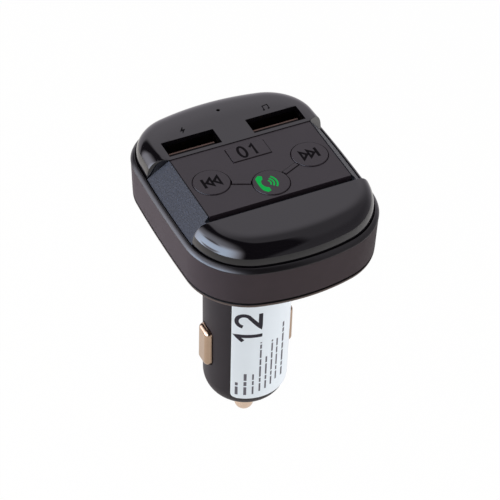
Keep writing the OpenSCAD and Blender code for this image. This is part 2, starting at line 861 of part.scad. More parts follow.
// The upright board inside the barrel, between the tip's seat and the main board
module power_board() {
    half = sqrt(bore_r * bore_r - board_t * board_t / 4) - 3 * slide_gap;
    color([0.05, 0.3, 0.16]) translate([-board_t / 2, -half, power_foot_z])
        cube([board_t, 2 * half, power_top_z - power_foot_z]);
}

module inductor() {
    color([0.2, 0.2, 0.2]) translate([board_t / 2, 0, inductor_z]) union() {
        translate([0, -coil_w / 2, -coil_w / 2]) cube([coil_h * 0.3, coil_w, coil_w]);
        rotate([0, 90, 0]) cylinder(d = coil_w * 0.94, h = coil_h);
    }
}

module input_capacitor() {
    color([0.16, 0.17, 0.3])
        translate([-board_t / 2 - can_d / 2, 0, can_z]) cylinder(d = can_d, h = can_l);
}

module regulator_chip() {
    color([0.08, 0.08, 0.09]) translate([board_t / 2, -chip_w / 2 * 0.8, regulator_z])
        cube([chip_t * 1.6, chip_w * 0.8, chip_w * 0.8]);
}

// Points of the barrel's outside from the head down to the nose's flat, as [radius, height]
function barrel_points() = concat(
    [[land_r, 0], [land_r, -land_l]],
    [for (i = [0:nose_steps])
        let (a = 90 * i / nose_steps)
        [low_r - nose_r + nose_r * cos(a), nose_start_z - nose_r * sin(a)]]
);

module plug_barrel() {
    color([0.17, 0.15, 0.16]) difference() {
        union() {
            difference() {
                rotate_extrude() polygon(concat(
                    [
                        [0, cover_floor_t + flange_t], [land_r + flange_w, cover_floor_t + flange_t],
                        [land_r + flange_w, cover_floor_t], [land_r - neck_gap, cover_floor_t],
                        [land_r - neck_gap, 0]
                    ],
                    barrel_points(),
                    [[0, nose_z]]
                ));
                translate([0, 0, cavity_foot_z])
                    cylinder(r = bore_r, h = cover_floor_t + flange_t - cavity_foot_z + cut);
            }
            translate([0, 0, cavity_foot_z - cut])
                cylinder(r = sleeve_r, h = sleeve_top_z - cavity_foot_z + cut);
        }
        translate([0, 0, chamber_foot_z]) cylinder(r = chamber_r, h = sleeve_top_z - chamber_foot_z + cut);
        translate([0, 0, nose_z - cut]) cylinder(r = tip_r + fit_gap, h = chamber_foot_z - nose_z + 2 * cut);
        both_sides() contact_outline(slide_gap, sleeve_r + cut, land_r + cut);
    }
}

// The upright rounded outline of a side contact, widened by a margin and pushed along X from one place to another
module contact_outline(margin, near, far) {
    r = contact_corner_r + margin;
    w = contact_w / 2 + margin - r;
    h = contact_h / 2 + margin - r;
    translate([near, 0, contact_z]) rotate([90, 0, 90]) linear_extrude(far - near) union() {
        for (y = [-w, w], z = [-h, h]) translate([y, z]) circle(r = r);
        square([2 * (w + r), 2 * h], center = true);
        square([2 * w, 2 * (h + r)], center = true);
    }
}

// A pressed contact shoe with rounded outer edges, and the rim that holds it behind the barrel's wall
module side_contact() {
    face_x = wall_r(contact_z) + contact_proud;
    rim_r = bore_r - fit_gap;
    back_x = contact_back_x;
    e = contact_edge_r;
    color([0.78, 0.7, 0.62]) union() {
        intersection() {
            contact_outline(0, back_x, face_x);
            translate([0, -contact_w / 2, contact_z]) rotate([-90, 0, 0]) linear_extrude(contact_w) union() {
                translate([back_x, -contact_h / 2]) square([face_x - e - back_x, contact_h]);
                translate([back_x, -contact_h / 2 + e]) square([face_x - back_x, contact_h - 2 * e]);
                for (z = [-1, 1]) translate([face_x - e, z * (contact_h / 2 - e)]) circle(r = e);
            }
            translate([0, 0, contact_z - contact_h / 2]) linear_extrude(contact_h) union() {
                translate([back_x, -contact_w / 2]) square([face_x - e - back_x, contact_w]);
                translate([back_x, -contact_w / 2 + e]) square([face_x - back_x, contact_w - 2 * e]);
                for (y = [-1, 1]) translate([face_x - e, y * (contact_w / 2 - e)]) circle(r = e);
            }
        }
        intersection() {
            difference() {
                translate([0, 0, contact_z - contact_h / 2 - contact_lip])
                    cylinder(r = rim_r, h = contact_h + 2 * contact_lip);
                translate([0, 0, contact_z - contact_h / 2 - contact_lip - cut])
                    cylinder(r = back_x, h = contact_h + 2 * contact_lip + 2 * cut);
            }
            translate([0, -contact_w / 2 - contact_lip, contact_z - contact_h])
                cube([land_r, contact_w + 2 * contact_lip, 2 * contact_h]);
        }
    }
}

// Radius of the barrel's outside at a height
function wall_r(z) = lookup(z, [for (p = barrel_points()) [p[1], p[0]]]);

module side_contact_left() {
    mirror([1, 0, 0]) side_contact();
}

module side_contact_right() {
    side_contact();
}

module center_tip() {
    color([0.78, 0.7, 0.62]) union() {
        intersection() {
            translate([0, 0, nose_z - tip_l]) cylinder(r = tip_r, h = tip_l + chamber_foot_z - nose_z);
            union() {
                translate([0, 0, nose_z - tip_l + tip_r]) sphere(r = tip_r);
                translate([0, 0, nose_z - tip_l + tip_r])
                    cylinder(r = tip_r, h = tip_l + chamber_foot_z - nose_z);
            }
        }
        translate([0, 0, chamber_foot_z]) cylinder(r = tip_flange_r, h = tip_flange_t);
    }
}

// A coil spring as one tube swept along a helix, from the ground up to its full length
module coil_spring(coil_r, wire_d, length, turns, steps) {
    wire_r = wire_d / 2;
    count = turns * steps;
    rings = [for (i = [0:count])
        let (a = 360 * i / steps, z = wire_r + (length - wire_d) * i / count)
        [for (j = [0:spring_sides - 1])
            let (b = 360 * j / spring_sides, r = coil_r + wire_r * cos(b))
            [r * cos(a), r * sin(a), z + wire_r * sin(b)]]];
    color([0.7, 0.71, 0.73])
        polyhedron([for (ring = rings) for (p = ring) p], stack_faces(spring_sides, len(rings)));
}

// The spring stands on the tip's flange and reaches the seat
module tip_spring() {
    translate([0, 0, chamber_foot_z + tip_flange_t])
        coil_spring(spring_r, spring_wire_d, spring_l, spring_turns, spring_steps);
}

// Each side spring stands on the power board and pushes its contact outwards
module right_contact_spring() {
    translate([board_t / 2, 0, contact_z]) rotate([0, 90, 0])
        coil_spring(side_spring_r, side_wire_d, contact_back_x - board_t / 2, side_turns, side_spring_steps);
}

module left_contact_spring() {
    mirror([1, 0, 0]) right_contact_spring();
}

// The round plate under the power board that the spring pushes against
module tip_seat() {
    color([0.78, 0.7, 0.62]) translate([0, 0, sleeve_top_z]) cylinder(r = sleeve_r, h = tip_seat_t);
}

// A thin sticker that follows the barrel's taper and the start of its nose
module label() {
    top_z = -land_l - label_gap;
    foot_z = nose_z + label_up;
    inner = concat(
        [[wall_r(top_z), top_z]],
        [for (p = barrel_points()) if (p[1] < top_z && p[1] > foot_z) p],
        [[wall_r(foot_z), foot_z]]
    );
    color([0.86, 0.88, 0.9]) rotate([0, 0, label_from]) rotate_extrude(angle = label_angle) polygon(concat(
        inner,
        [for (i = [len(inner) - 1:-1:0]) inner[i] + [label_t, 0]]
    ));
}

bottom_cover();
mid_housing();
trim_ring();
key_deck();
key_panel();
key_links();
usb_cap();
display_window();
previous_button();
next_button();
call_button();
channel_button();
previous_switch_stem();
next_switch_stem();
call_switch_stem();
channel_switch_stem();
previous_switch();
next_switch();
call_switch();
channel_switch();
main_board();
board_screws();
board_header();
display_module();
radio_chip();
crystal();
microphone();
usb_shell_left();
usb_shell_right();
usb_tongue_left();
usb_tongue_right();
usb_contacts_left();
usb_contacts_right();
power_board();
inductor();
input_capacitor();
regulator_chip();
plug_barrel();
side_contact_left();
side_contact_right();
left_contact_spring();
right_contact_spring();
center_tip();
tip_spring();
tip_seat();
label();
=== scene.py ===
"""Looks of a car FM transmitter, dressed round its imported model. Lengths are metres, but for the marks."""
import math

import bmesh
import bpy
from mathutils import Matrix, Vector


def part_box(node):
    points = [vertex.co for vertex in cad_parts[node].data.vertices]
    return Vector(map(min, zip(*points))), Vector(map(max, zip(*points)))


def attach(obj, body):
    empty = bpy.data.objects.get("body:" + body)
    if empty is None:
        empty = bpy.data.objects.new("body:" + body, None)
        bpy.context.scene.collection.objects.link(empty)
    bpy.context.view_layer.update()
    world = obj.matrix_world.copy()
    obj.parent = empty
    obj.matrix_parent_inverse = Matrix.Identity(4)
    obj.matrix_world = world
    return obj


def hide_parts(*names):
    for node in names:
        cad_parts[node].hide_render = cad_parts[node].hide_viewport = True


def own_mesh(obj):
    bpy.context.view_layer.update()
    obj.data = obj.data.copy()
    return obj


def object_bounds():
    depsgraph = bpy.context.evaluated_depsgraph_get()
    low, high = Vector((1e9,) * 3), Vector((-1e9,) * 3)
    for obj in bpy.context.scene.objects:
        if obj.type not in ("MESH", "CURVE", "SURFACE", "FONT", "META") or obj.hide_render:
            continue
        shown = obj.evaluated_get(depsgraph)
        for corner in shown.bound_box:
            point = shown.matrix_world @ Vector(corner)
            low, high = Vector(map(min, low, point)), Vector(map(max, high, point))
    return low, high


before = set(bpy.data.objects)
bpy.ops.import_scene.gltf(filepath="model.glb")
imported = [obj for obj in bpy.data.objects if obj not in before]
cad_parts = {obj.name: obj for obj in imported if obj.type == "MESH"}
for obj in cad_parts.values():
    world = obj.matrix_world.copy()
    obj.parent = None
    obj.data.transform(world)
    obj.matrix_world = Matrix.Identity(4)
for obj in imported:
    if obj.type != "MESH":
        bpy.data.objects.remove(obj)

cad_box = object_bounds()
MM = 0.001
QUARTER_TURN = math.pi / 2


def centre_of(node):
    """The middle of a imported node's box."""
    low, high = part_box(node)
    return (low + high) / 2


# Outline of the head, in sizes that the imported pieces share
WIDEST_SHIFT = 4 * MM
SIDE_BULGE_R = 356 * MM
FRONT_CORNER_R = 15.3 * MM
FRONT_BULGE_R = 47 * MM
BACK_CORNER_R = 12.9 * MM
BACK_BULGE_R = 60 * MM

# Trim ring and the crowned covers, whose rims are superellipses of CROWN_POWER
RING_W = 1.05 * MM
RING_GAP = 0.2 * MM
RING_EDGE_H = 0.05 * MM
RING_ROUND = 0.4
RING_SLOPE_SHARE = 0.8
CROWN_W = 4.35 * MM
CAP_SLOPE_W = 10.8 * MM
CROWN_POWER = 2.35
CROWN_SHARE = 2 / CROWN_POWER
CAP_SWEEP = 2.7 * MM
WINDOW_SWEEP = 0.8 * MM
FLAT_RIM = 0.15 * MM
SHELL_T = 1.3 * MM
WINDOW_REAR_SHARE = 0.85

# Side wall, bottom cover and the gaps between pieces
HOUSING_T = 1.45 * MM
HOUSING_DRAFT = 0.35 * MM
WALL_TOP_INSET = 0.05 * MM
LEDGE_SHARE = 0.8
LEDGE_T = HOUSING_T * LEDGE_SHARE
COVER_H = 1.6 * MM
COVER_FLOOR_T = 1.4 * MM
COVER_EDGE_R = 1.2 * MM
SEAM = 0.22 * MM
FIT_GAP = 0.15 * MM
SLOT_GAP = 0.25 * MM
REAR_CLOSE = 0.08 * MM

# Port openings, microphone hole and keys
PORT_W = 12.8 * MM
PORT_D = 5.1 * MM
PORT_WALL = 0.6 * MM
MIC_R = 0.45 * MM
KEY_FLANGE_W = 0.45 * MM
KEY_FLANGE_T = 1.0 * MM
KEY_STEM_R = 1.7 * MM
KEY_RIM = 0.13 * MM
LINK_W = 1.1 * MM

# Plug
LAND_R = 10.45 * MM
LAND_L = 16 * MM
LOW_R = 10.05 * MM
BARREL_WALL = 1.65 * MM
BORE_R = LOW_R - BARREL_WALL
NOSE_R = 6.5 * MM
CAVITY_SHARE = 0.23
CHAMBER_SHARE = 0.4
NECK_GAP = 0.2 * MM
CHAMBER_R = 4.1 * MM
SLEEVE_R = 5.2 * MM
TIP_HOLE_R = 2.5 * MM
TIP_R = 2.35 * MM
TIP_FLANGE_T = 1 * MM
CONTACT_W = 4.8 * MM
CONTACT_H = 11 * MM
CONTACT_LIP = 1.2 * MM
CONTACT_CORNER_R = 1.3 * MM
CONTACT_EDGE_R = 1.15 * MM
CONTACT_LIP_T = 0.55 * MM
LABEL_FROM = math.radians(225)
LABEL_ANGLE = math.radians(118)
LABEL_CORNER_R = 1.5 * MM
LABEL_T = 0.12 * MM

# Sides of round pieces
BARREL_SIDES = 160
ROUND_SIDES = 96
STEM_SIDES = 48
MIC_SIDES = 24

# Softened edges, cuts and ink
SOFT_EDGE = 0.12 * MM
FINE_EDGE = SOFT_EDGE / 2
FINEST_EDGE = SOFT_EDGE / 3
SHARP_ANGLE = math.radians(35)
EDGE_SEGMENTS = 2
FLAT_FACES_WEIGHT = 100
OVERRUN = 1 * MM
WELD = MM / 1e4
INK_T = 0.012 * MM
INK_ROOT = 0.1 * MM
LABEL_INK_GAIN = 2.5
SHARPEST_MITRE = 0.5
CHARGE_SPOT = (-10.4 * MM, 13.9 * MM)
MUSIC_SPOT = (10.3 * MM, 13.9 * MM)

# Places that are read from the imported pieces. Inked tops lie lower by the ink's thickness.
ring_low, ring_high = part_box("trim_ring")
HALF_W = ring_high.x
FRONT_REACH = -ring_low.y - WIDEST_SHIFT
BACK_REACH = ring_high.y + WIDEST_SHIFT
LINE_Z = ring_high.z
RING_FOOT_Z = ring_low.z
window_low, window_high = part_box("display_window")
WINDOW_Y = window_high.y - WINDOW_SWEEP
PANEL_Z = window_high.z
SEAT_Z = window_low.z
cap_low, cap_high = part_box("usb_cap")
CAP_Y = cap_low.y
CAP_Z = cap_high.z
barrel_low, barrel_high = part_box("plug_barrel")
NOSE_Z = barrel_low.z
NOSE_START = NOSE_Z + NOSE_R
CAVITY_Z = NOSE_START - NOSE_R * CAVITY_SHARE
CHAMBER_Z = NOSE_Z + NOSE_R * CHAMBER_SHARE
CONTACT_Z = centre_of("side_contact_right").z
key_low, key_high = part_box("call_button")
CAP_TOP = CAP_Z - INK_T
KEY_TOP = CAP_TOP
KEY_R = (key_high.x - key_low.x) / 2 - KEY_FLANGE_W
STEM_FOOT = key_low.z
panel_low, panel_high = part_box("key_panel")
PANEL_FOOT = panel_low.z
SHELL_INSET = RING_W + RING_GAP
FLAT_INSET = SHELL_INSET + CROWN_W
FLANK_X = HALF_W - FLAT_INSET


# Outline of the head

def quarter_turns(steps):
    """Angles from 0 to a quarter turn, both ends among them."""
    return [QUARTER_TURN * i / steps for i in range(steps + 1)]


def rounded_edge(radius, steps=8):
    """How far a rounded edge lies in from each of its two sides, step by step."""
    return [(radius * (1 - math.sin(a)), radius * (1 - math.cos(a))) for a in quarter_turns(steps)]


def quarter(reach, corner_r, bulge_r, inset, end_inset, side_steps=10, corner_steps=36, end_steps=12):
    """Points from the widest place on the +X side to the middle of an end: side, corner and end arcs."""
    side = Vector((HALF_W - SIDE_BULGE_R, 0))
    end = Vector((0, reach - bulge_r))
    side_reach = SIDE_BULGE_R - corner_r
    end_reach = bulge_r - end_inset - corner_r + inset
    span = end - side
    along = (side_reach ** 2 - end_reach ** 2 + span.length_squared) / (2 * span.length)
    across = math.sqrt(side_reach ** 2 - along ** 2)
    way = span.normalized()
    corner = side + along * way + across * Vector((-way.y, way.x))
    side_turn = math.atan2(corner.y, corner.x - side.x)
    end_turn = math.atan2(corner.y - end.y, corner.x)
    arcs = (
        (side, SIDE_BULGE_R - inset, 0, side_turn, side_steps),
        (corner, corner_r - inset, side_turn, end_turn, corner_steps),
        (end, bulge_r - end_inset, end_turn, QUARTER_TURN, end_steps),
    )
    points = []
    for centre, radius, first, last, steps in arcs:
        for i in range(steps):
            angle = first + (last - first) * i / steps
            points.append(centre + radius * Vector((math.cos(angle), math.sin(angle))))
    points.append(Vector((0, reach - end_inset)))
    return points


def outline(inset, end_inset=None):
    """The head's outline as one loop from the +X side, drawn in by an inset that may differ at the ends."""
    end_inset = inset if end_inset is None else end_inset
    back = quarter(BACK_REACH, BACK_CORNER_R, BACK_BULGE_R, inset, end_inset)
    front = quarter(FRONT_REACH, FRONT_CORNER_R, FRONT_BULGE_R, inset, end_inset)
    loop = back + [Vector((-p.x, p.y)) for p in reversed(back[:-1])]
    loop += [-p for p in front[1:]] + [Vector((p.x, -p.y)) for p in reversed(front[1:-1])]
    return [p - Vector((0, WIDEST_SHIFT)) for p in loop]


def circle(radius, count, centre):
    turns = [2 * math.pi * i / count for i in range(count)]
    return [Vector((centre[0] + radius * math.cos(a), centre[1] + radius * math.sin(a))) for a in turns]


def rectangle(centre, width, depth):
    x, y = width / 2, depth / 2
    return [Vector((centre[0] + i * x, centre[1] + j * y)) for i, j in ((-1, -1), (1, -1), (1, 1), (-1, 1))]


# Mesh making

def piece_from_mesh(name, work):
    """Turns a worked mesh into a piece in the scene, with all its faces turned outwards."""
    bmesh.ops.recalc_face_normals(work, faces=work.faces)
    mesh = bpy.data.meshes.new(name)
    work.to_mesh(mesh)
    work.free()
    piece = bpy.data.objects.new(name, mesh)
    bpy.context.scene.collection.objects.link(piece)
    return piece


def piece_from_rings(name, rings, closed=False):
    """A solid through rings of equal length: closed into a loop, or with both ends capped."""
    work = bmesh.new()
    loops = [[work.verts.new(p) for p in ring] for ring in rings]
    count = len(loops[0])
    for lower, upper in zip(loops, loops[1:] + (loops[:1] if closed else [])):
        for i in range(count):
            j = (i + 1) % count
            work.faces.new((lower[i], lower[j], upper[j], upper[i]))
    if not closed:
        work.faces.new(list(reversed(loops[0])))
        work.faces.new(loops[-1])
    bmesh.ops.remove_doubles(work, verts=work.verts, dist=WELD)
    return piece_from_mesh(name, work)


def lift(loop, z):
    """A flat loop of points at a height."""
    return [(p.x, p.y, z) for p in loop]


def lofted(name, levels, closed=False):
    """The head's outline stepped through (inset, height) or (inset, height, inset of the ends)."""
    rings = [lift(outline(level[0], level[2] if len(level) > 2 else None), level[1]) for level in levels]
    return piece_from_rings(name, rings, closed)


def plate(name, loop, low, high):
    """A solid with upright walls on a loop."""
    return piece_from_rings(name, [lift(loop, low), lift(loop, high)])


def softened(corners, radius, steps=3):
    """A closed run of corners, each turned into a short curve."""
    result = []
    for i, corner in enumerate(corners):
        here = Vector(corner)
        before = Vector(corners[i - 1]) - here
        after = Vector(corners[(i + 1) % len(corners)]) - here
        reach = min(radius, before.length / 2, after.length / 2)
        start = here + before.normalized() * reach
        stop = here + after.normalized() * reach
        for k in range(steps + 1):
            t = k / steps
            result.append(start * (1 - t) ** 2 + here * 2 * t * (1 - t) + stop * t ** 2)
    return result


def turned(name, profile, steps):
    """A closed profile of (radius, height) turned round the Z axis."""
    turns = [2 * math.pi * i / steps for i in range(steps)]
    rings = [[(r * math.cos(a), r * math.sin(a), z) for a in turns] for r, z in profile]
    return piece_from_rings(name, rings, closed=True)


def settle(piece):
    """Turns a piece's modifiers into its own mesh."""
    view = bpy.context.evaluated_depsgraph_get()
    mesh = bpy.data.meshes.new_from_object(piece.evaluated_get(view))
    piece.modifiers.clear()
    piece.data = mesh
    return piece


def combine(piece, tool, operation="DIFFERENCE"):
    """Cuts a tool from a piece, or joins it to the piece, and uses the tool up."""
    step = piece.modifiers.new("combine", "BOOLEAN")
    step.operation = operation
    step.solver = "EXACT"
    step.object = tool
    settle(piece)
    bpy.data.objects.remove(tool)
    return piece


def smooth(piece, width=0.0):
    """Shades a piece smooth, with its sharp edges rounded to a width."""
    if width:
        edge = piece.modifiers.new("edge", "BEVEL")
        edge.width = width
        edge.segments = EDGE_SEGMENTS
        edge.limit_method = "ANGLE"
        edge.angle_limit = SHARP_ANGLE
        edge.use_clamp_overlap = True
    for face in piece.data.polygons:
        face.use_smooth = True
    even = piece.modifiers.new("even", "WEIGHTED_NORMAL")
    even.keep_sharp = True
    even.weight = FLAT_FACES_WEIGHT
    return settle(piece)


def mirrored(piece):
    """The same piece on the other side of the plug."""
    piece.data.transform(Matrix.Scale(-1, 4, (1, 0, 0)))
    piece.data.flip_normals()
    return piece


def dress(piece, body, material, node=None):
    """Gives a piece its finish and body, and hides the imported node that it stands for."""
    piece.data.materials.clear()
    piece.data.materials.append(material)
    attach(piece, body)
    if node:
        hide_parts(node)


# Finishes

class Value:
    """A socket of a finish that sums and products can be written with."""

    def __init__(self, nodes, socket):
        self.nodes = nodes
        self.socket = socket

    def math(self, operation, first, second):
        return self.nodes.add("ShaderNodeMath", {"operation": operation}, {0: first, 1: second})

    def __add__(self, other):
        return self.math("ADD", self, other)

    def __radd__(self, other):
        return self.math("ADD", other, self)

    def __sub__(self, other):
        return self.math("SUBTRACT", self, other)

    def __rsub__(self, other):
        return self.math("SUBTRACT", other, self)

    def __mul__(self, other):
        return self.math("MULTIPLY", self, other)

    def __rmul__(self, other):
        return self.math("MULTIPLY", other, self)


class Nodes:
    """The nodes of one finish, of the floor or of the surroundings."""

    def __init__(self, tree):
        self.tree = tree
        tree.nodes.clear()

    def add(self, kind, settings=None, sockets=None, output=0):
        """A node with its settings, and with its sockets set or linked. Gives one of its outputs."""
        node = self.tree.nodes.new(kind)
        for name, setting in (settings or {}).items():
            setattr(node, name, setting)
        for name, value in (sockets or {}).items():
            if isinstance(value, Value):
                self.tree.links.new(value.socket, node.inputs[name])
            else:
                node.inputs[name].default_value = value
        return Value(self, node.outputs[output]) if len(node.outputs) else node

    def noise(self, size, detail=2.0, roughness=0.5):
        """Cloudy noise from 0 to 1 whose lumps are about a size across."""
        place = self.add("ShaderNodeTexCoord", output="Object")
        return self.add(
            "ShaderNodeTexNoise", None,
            {"Vector": place, "Scale": 1 / size, "Detail": detail, "Roughness": roughness},
        )

    def blend(self, factor, first, second):
        return self.add("ShaderNodeMix", {"data_type": "RGBA"}, {0: factor, 6: first, 7: second}, output=2)

    def between(self, value, low, high, first=0.0, last=1.0):
        """Eases from first to last as a value goes from low to high."""
        return self.add(
            "ShaderNodeMapRange", {"interpolation_type": "SMOOTHSTEP"},
            {"Value": value, "From Min": low, "From Max": high, "To Min": first, "To Max": last},
        )

    def bump(self, height, depth):
        return self.add("ShaderNodeBump", None, {"Strength": 1.0, "Distance": depth, "Height": height})


def linear(red, green, blue):
    """A colour as it is seen, in steps from 0 to 255, turned into light."""
    shares = [value / 255 for value in (red, green, blue)]
    return [s / 12.92 if s <= 0.04045 else ((s + 0.055) / 1.055) ** 2.4 for s in shares] + [1]


def scaled(colour, share):
    return [min(1, value * share) for value in colour[:3]] + [1]


def finish(name, colour, roughness, mottle=0.12, mottle_size=4 * MM, grain=0.25 * MM, depth=0.0,
           spread=0.05, metallic=0.0, specular=0.5, speck=0.0, painted_shade_from=None):
    """A finish whose colour and roughness wander a little, with a fine grain of a depth and light specks.
    From a height upwards it can be painted dark: painted shade, as in a seam where no light comes."""
    material = bpy.data.materials.new(name)
    material.use_nodes = True
    nodes = Nodes(material.node_tree)
    cloud = nodes.noise(mottle_size, detail=4)
    fine = nodes.noise(grain, detail=3, roughness=0.6)
    tone = nodes.blend(cloud, scaled(colour, 1 - mottle), scaled(colour, 1 + mottle))
    if speck:
        lightest = nodes.between(fine, 0.5, 0.72)
        tone = nodes.blend(lightest, tone, scaled(colour, 1 + speck))
    # Painted shade: the colour turns near black from a height upwards, where a seam gets no light.
    if painted_shade_from:
        place = nodes.add("ShaderNodeTexCoord", output="Object")
        height = nodes.add("ShaderNodeSeparateXYZ", None, {0: place}, output=2)
        shadow = nodes.between(height, painted_shade_from, painted_shade_from + SOFT_EDGE)
        seam_painted_shade = linear(4, 4, 4)
        tone = nodes.blend(shadow, tone, seam_painted_shade)
    sockets = {
        "Base Color": tone,
        "Roughness": roughness - spread / 2 + fine * spread,
        "Metallic": metallic,
        "Specular IOR Level": specular,
    }
    if depth:
        sockets["Normal"] = nodes.bump(fine, depth)
    shader = nodes.add("ShaderNodeBsdfPrincipled", None, sockets)
    nodes.add("ShaderNodeOutputMaterial", None, {"Surface": shader})
    return material


def tongue_finish():
    """Black plastic that takes no shine, with a painted highlight along the top of its rear edge: a tan
    metallic strip.
    """
    material = bpy.data.materials.new("tongue_plastic")
    material.use_nodes = True
    nodes = Nodes(material.node_tree)
    place = nodes.add("ShaderNodeTexCoord", output="Generated")
    back, up = (nodes.add("ShaderNodeSeparateXYZ", None, {0: place}, output=i) for i in (1, 2))
    # Painted highlight: a tan metallic strip along the top of the rear edge stands for light caught by that
    # edge.
    rear_edge = nodes.between(back, 0.41, 0.43)
    top = nodes.between(up, 0.85, 0.9)
    edge_highlight_strip = rear_edge * top
    fine = nodes.noise(0.3 * MM)
    plastic = nodes.blend(fine, linear(12, 10, 12), linear(20, 17, 19))
    # The painted highlight's tan colour.
    metal = linear(108, 90, 82)
    sockets = {
        "Base Color": nodes.blend(edge_highlight_strip, plastic, metal),
        "Metallic": edge_highlight_strip,
        "Roughness": 0.6 - fine * 0.1,
        "Specular IOR Level": 0.05,
    }
    shader = nodes.add("ShaderNodeBsdfPrincipled", None, sockets)
    nodes.add("ShaderNodeOutputMaterial", None, {"Surface": shader})
    return material


def make_finishes():
    """Every finish under its name."""
    grained = {"depth": 0.012 * MM, "grain": 0.3 * MM, "specular": 0.12}
    polished = {"mottle": 0.05, "grain": 1.5 * MM}
    metal = {"depth": 0.002 * MM, "metallic": 1.0}
    finishes = {"tongue_plastic": tongue_finish()}

    def add(name, colour, roughness, **look):
        finishes[name] = finish(name, colour, roughness, **look)

    add("matte_shell", linear(56, 48, 51), 0.62, **grained)
    # The cover's colour is the matte shell's made lighter, which is painted light, and its top in the seam
    # is painted shade.
    add("cover_shell_painted_light_and_shade", linear(84, 73, 69), 0.62, painted_shade_from=COVER_H - 2 * SEAM, **grained)
    add("gloss_shell", linear(13, 11, 15), 0.06, depth=0.0003 * MM, spread=0.02, **polished)
    add("gloss_ring", linear(16, 14, 17), 0.3, depth=0.0005 * MM, spread=0.04, **polished)
    add("flank_texture", linear(29, 32, 40), 0.5, depth=0.08 * MM, grain=0.5 * MM,
        spread=0.2, specular=0.25, speck=1.2)
    add("panel_plastic", linear(38, 32, 38), 0.34, depth=0.006 * MM, grain=0.3 * MM, specular=0.33)
    add("barrel_plastic", linear(38, 33, 35), 0.5, depth=0.004 * MM, grain=0.3 * MM, specular=0.12)
    add("black_plastic", linear(20, 19, 20), 0.45)
    add("stem_plastic", linear(190, 184, 168), 0.5)
    add("pale_plastic", linear(215, 215, 210), 0.5)
    add("nickel", linear(212, 189, 170), 0.26, mottle=0.06, **metal)
    # The shoes' nickel is the tip's nickel made darker and browner: painted shade on their faces.
    add("shoe_nickel_painted_shade", linear(172, 148, 127), 0.2, mottle=0.08, **metal)
    add("steel", linear(190, 190, 192), 0.28, mottle=0.08, **metal)
    add("dark_steel", linear(70, 62, 58), 0.35, mottle=0.08, metallic=1.0)
    add("gold_contact", linear(222, 186, 120), 0.3, mottle=0.08, metallic=1.0)
    add("circuit_board", linear(20, 88, 52), 0.35, mottle=0.2, grain=0.5 * MM)
    add("chip_black", linear(24, 24, 25), 0.6)
    add("can_sleeve", linear(36, 38, 78), 0.3)
    add("label_film", linear(229, 238, 246), 0.4, mottle=0.03, mottle_size=8 * MM)
    # Dark ink for the marks, and painted shade for the skip marks' strokes.
    add("mark_ink_and_painted_shade", linear(9, 7, 10), 0.6, specular=0.05)
    add("rule_ink", linear(104, 102, 110), 0.6, specular=0.1)
    add("label_ink", linear(48, 45, 52), 0.6, specular=0.1)
    add("green_ink", linear(0, 172, 74), 0.6, mottle=0.08, mottle_size=0.6 * MM, specular=0.1)
    return finishes


# Casings

def make_cover():
    """The bottom cover: a shallow dish with a rounded edge and a hole for the barrel."""
    inset = HALF_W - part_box("bottom_cover")[1].x
    lip_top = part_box("bottom_cover")[1].z
    lip_inset = inset + HOUSING_T + FIT_GAP
    levels = [(inset + inward, height) for inward, height in rounded_edge(COVER_EDGE_R)]
    levels += [
        (inset, COVER_H - SEAM), (inset + SEAM, COVER_H), (lip_inset, COVER_H), (lip_inset, lip_top),
        (lip_inset + LEDGE_T, lip_top), (lip_inset + LEDGE_T, COVER_FLOOR_T),
    ]
    rings = [lift(outline(i), z) for i, z in levels]
    hole = [p.normalized() * (LAND_R + FIT_GAP) for p in outline(inset)]
    rings += [lift(hole, COVER_FLOOR_T), lift(hole, 0)]
    return smooth(piece_from_rings("cover_shell_painted_light_and_shade", rings, closed=True))


def make_housing():
    """The side wall, which draws in a little downwards, with a ledge inside its top."""
    top, foot = RING_FOOT_Z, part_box("mid_housing")[0].z
    high, low = WALL_TOP_INSET, WALL_TOP_INSET + HOUSING_DRAFT
    ledge = SHELL_INSET + 2 * LEDGE_T
    profile = [
        (low, foot), (high, top), (ledge, top), (ledge, top - LEDGE_T),
        (high + HOUSING_T, top - LEDGE_T), (low + HOUSING_T, foot),
    ]
    return smooth(lofted("housing_shell", softened(profile, SOFT_EDGE), closed=True))


def make_ring():
    """The trim ring: a slightly rounded slope that rises to a narrow land beside the gap."""
    edge_z = RING_FOOT_Z + RING_EDGE_H
    curve = []
    for a in quarter_turns(10):
        along = a / QUARTER_TURN
        inset = RING_W * RING_SLOPE_SHARE * (RING_ROUND * (1 - math.cos(a)) + (1 - RING_ROUND) * along)
        rise = (LINE_Z - edge_z) * (RING_ROUND * math.sin(a) + (1 - RING_ROUND) * along)
        curve.append((inset, edge_z + rise))
    foot = [(FINEST_EDGE, RING_FOOT_Z)]
    land = [(RING_W - FINE_EDGE, LINE_Z), (RING_W, LINE_Z - FINE_EDGE), (RING_W, RING_FOOT_Z)]
    return smooth(lofted("ring_shell", foot + curve + land, closed=True))


def crown(name, top, end_w):
    """An upright skirt, a full rounded edge and a flat top. The end's edge has its own width."""
    levels = [(SHELL_INSET, SEAT_Z)]
    for a in quarter_turns(32):
        inward = 1 - max(math.cos(a), 0) ** CROWN_SHARE
        height = LINE_Z + (top - LINE_Z) * math.sin(a) ** CROWN_SHARE
        levels.append((SHELL_INSET + CROWN_W * inward, height, SHELL_INSET + end_w * inward))
    levels.append((FLAT_INSET + FLAT_RIM, top, SHELL_INSET + end_w + FLAT_RIM))
    return lofted(name, levels)


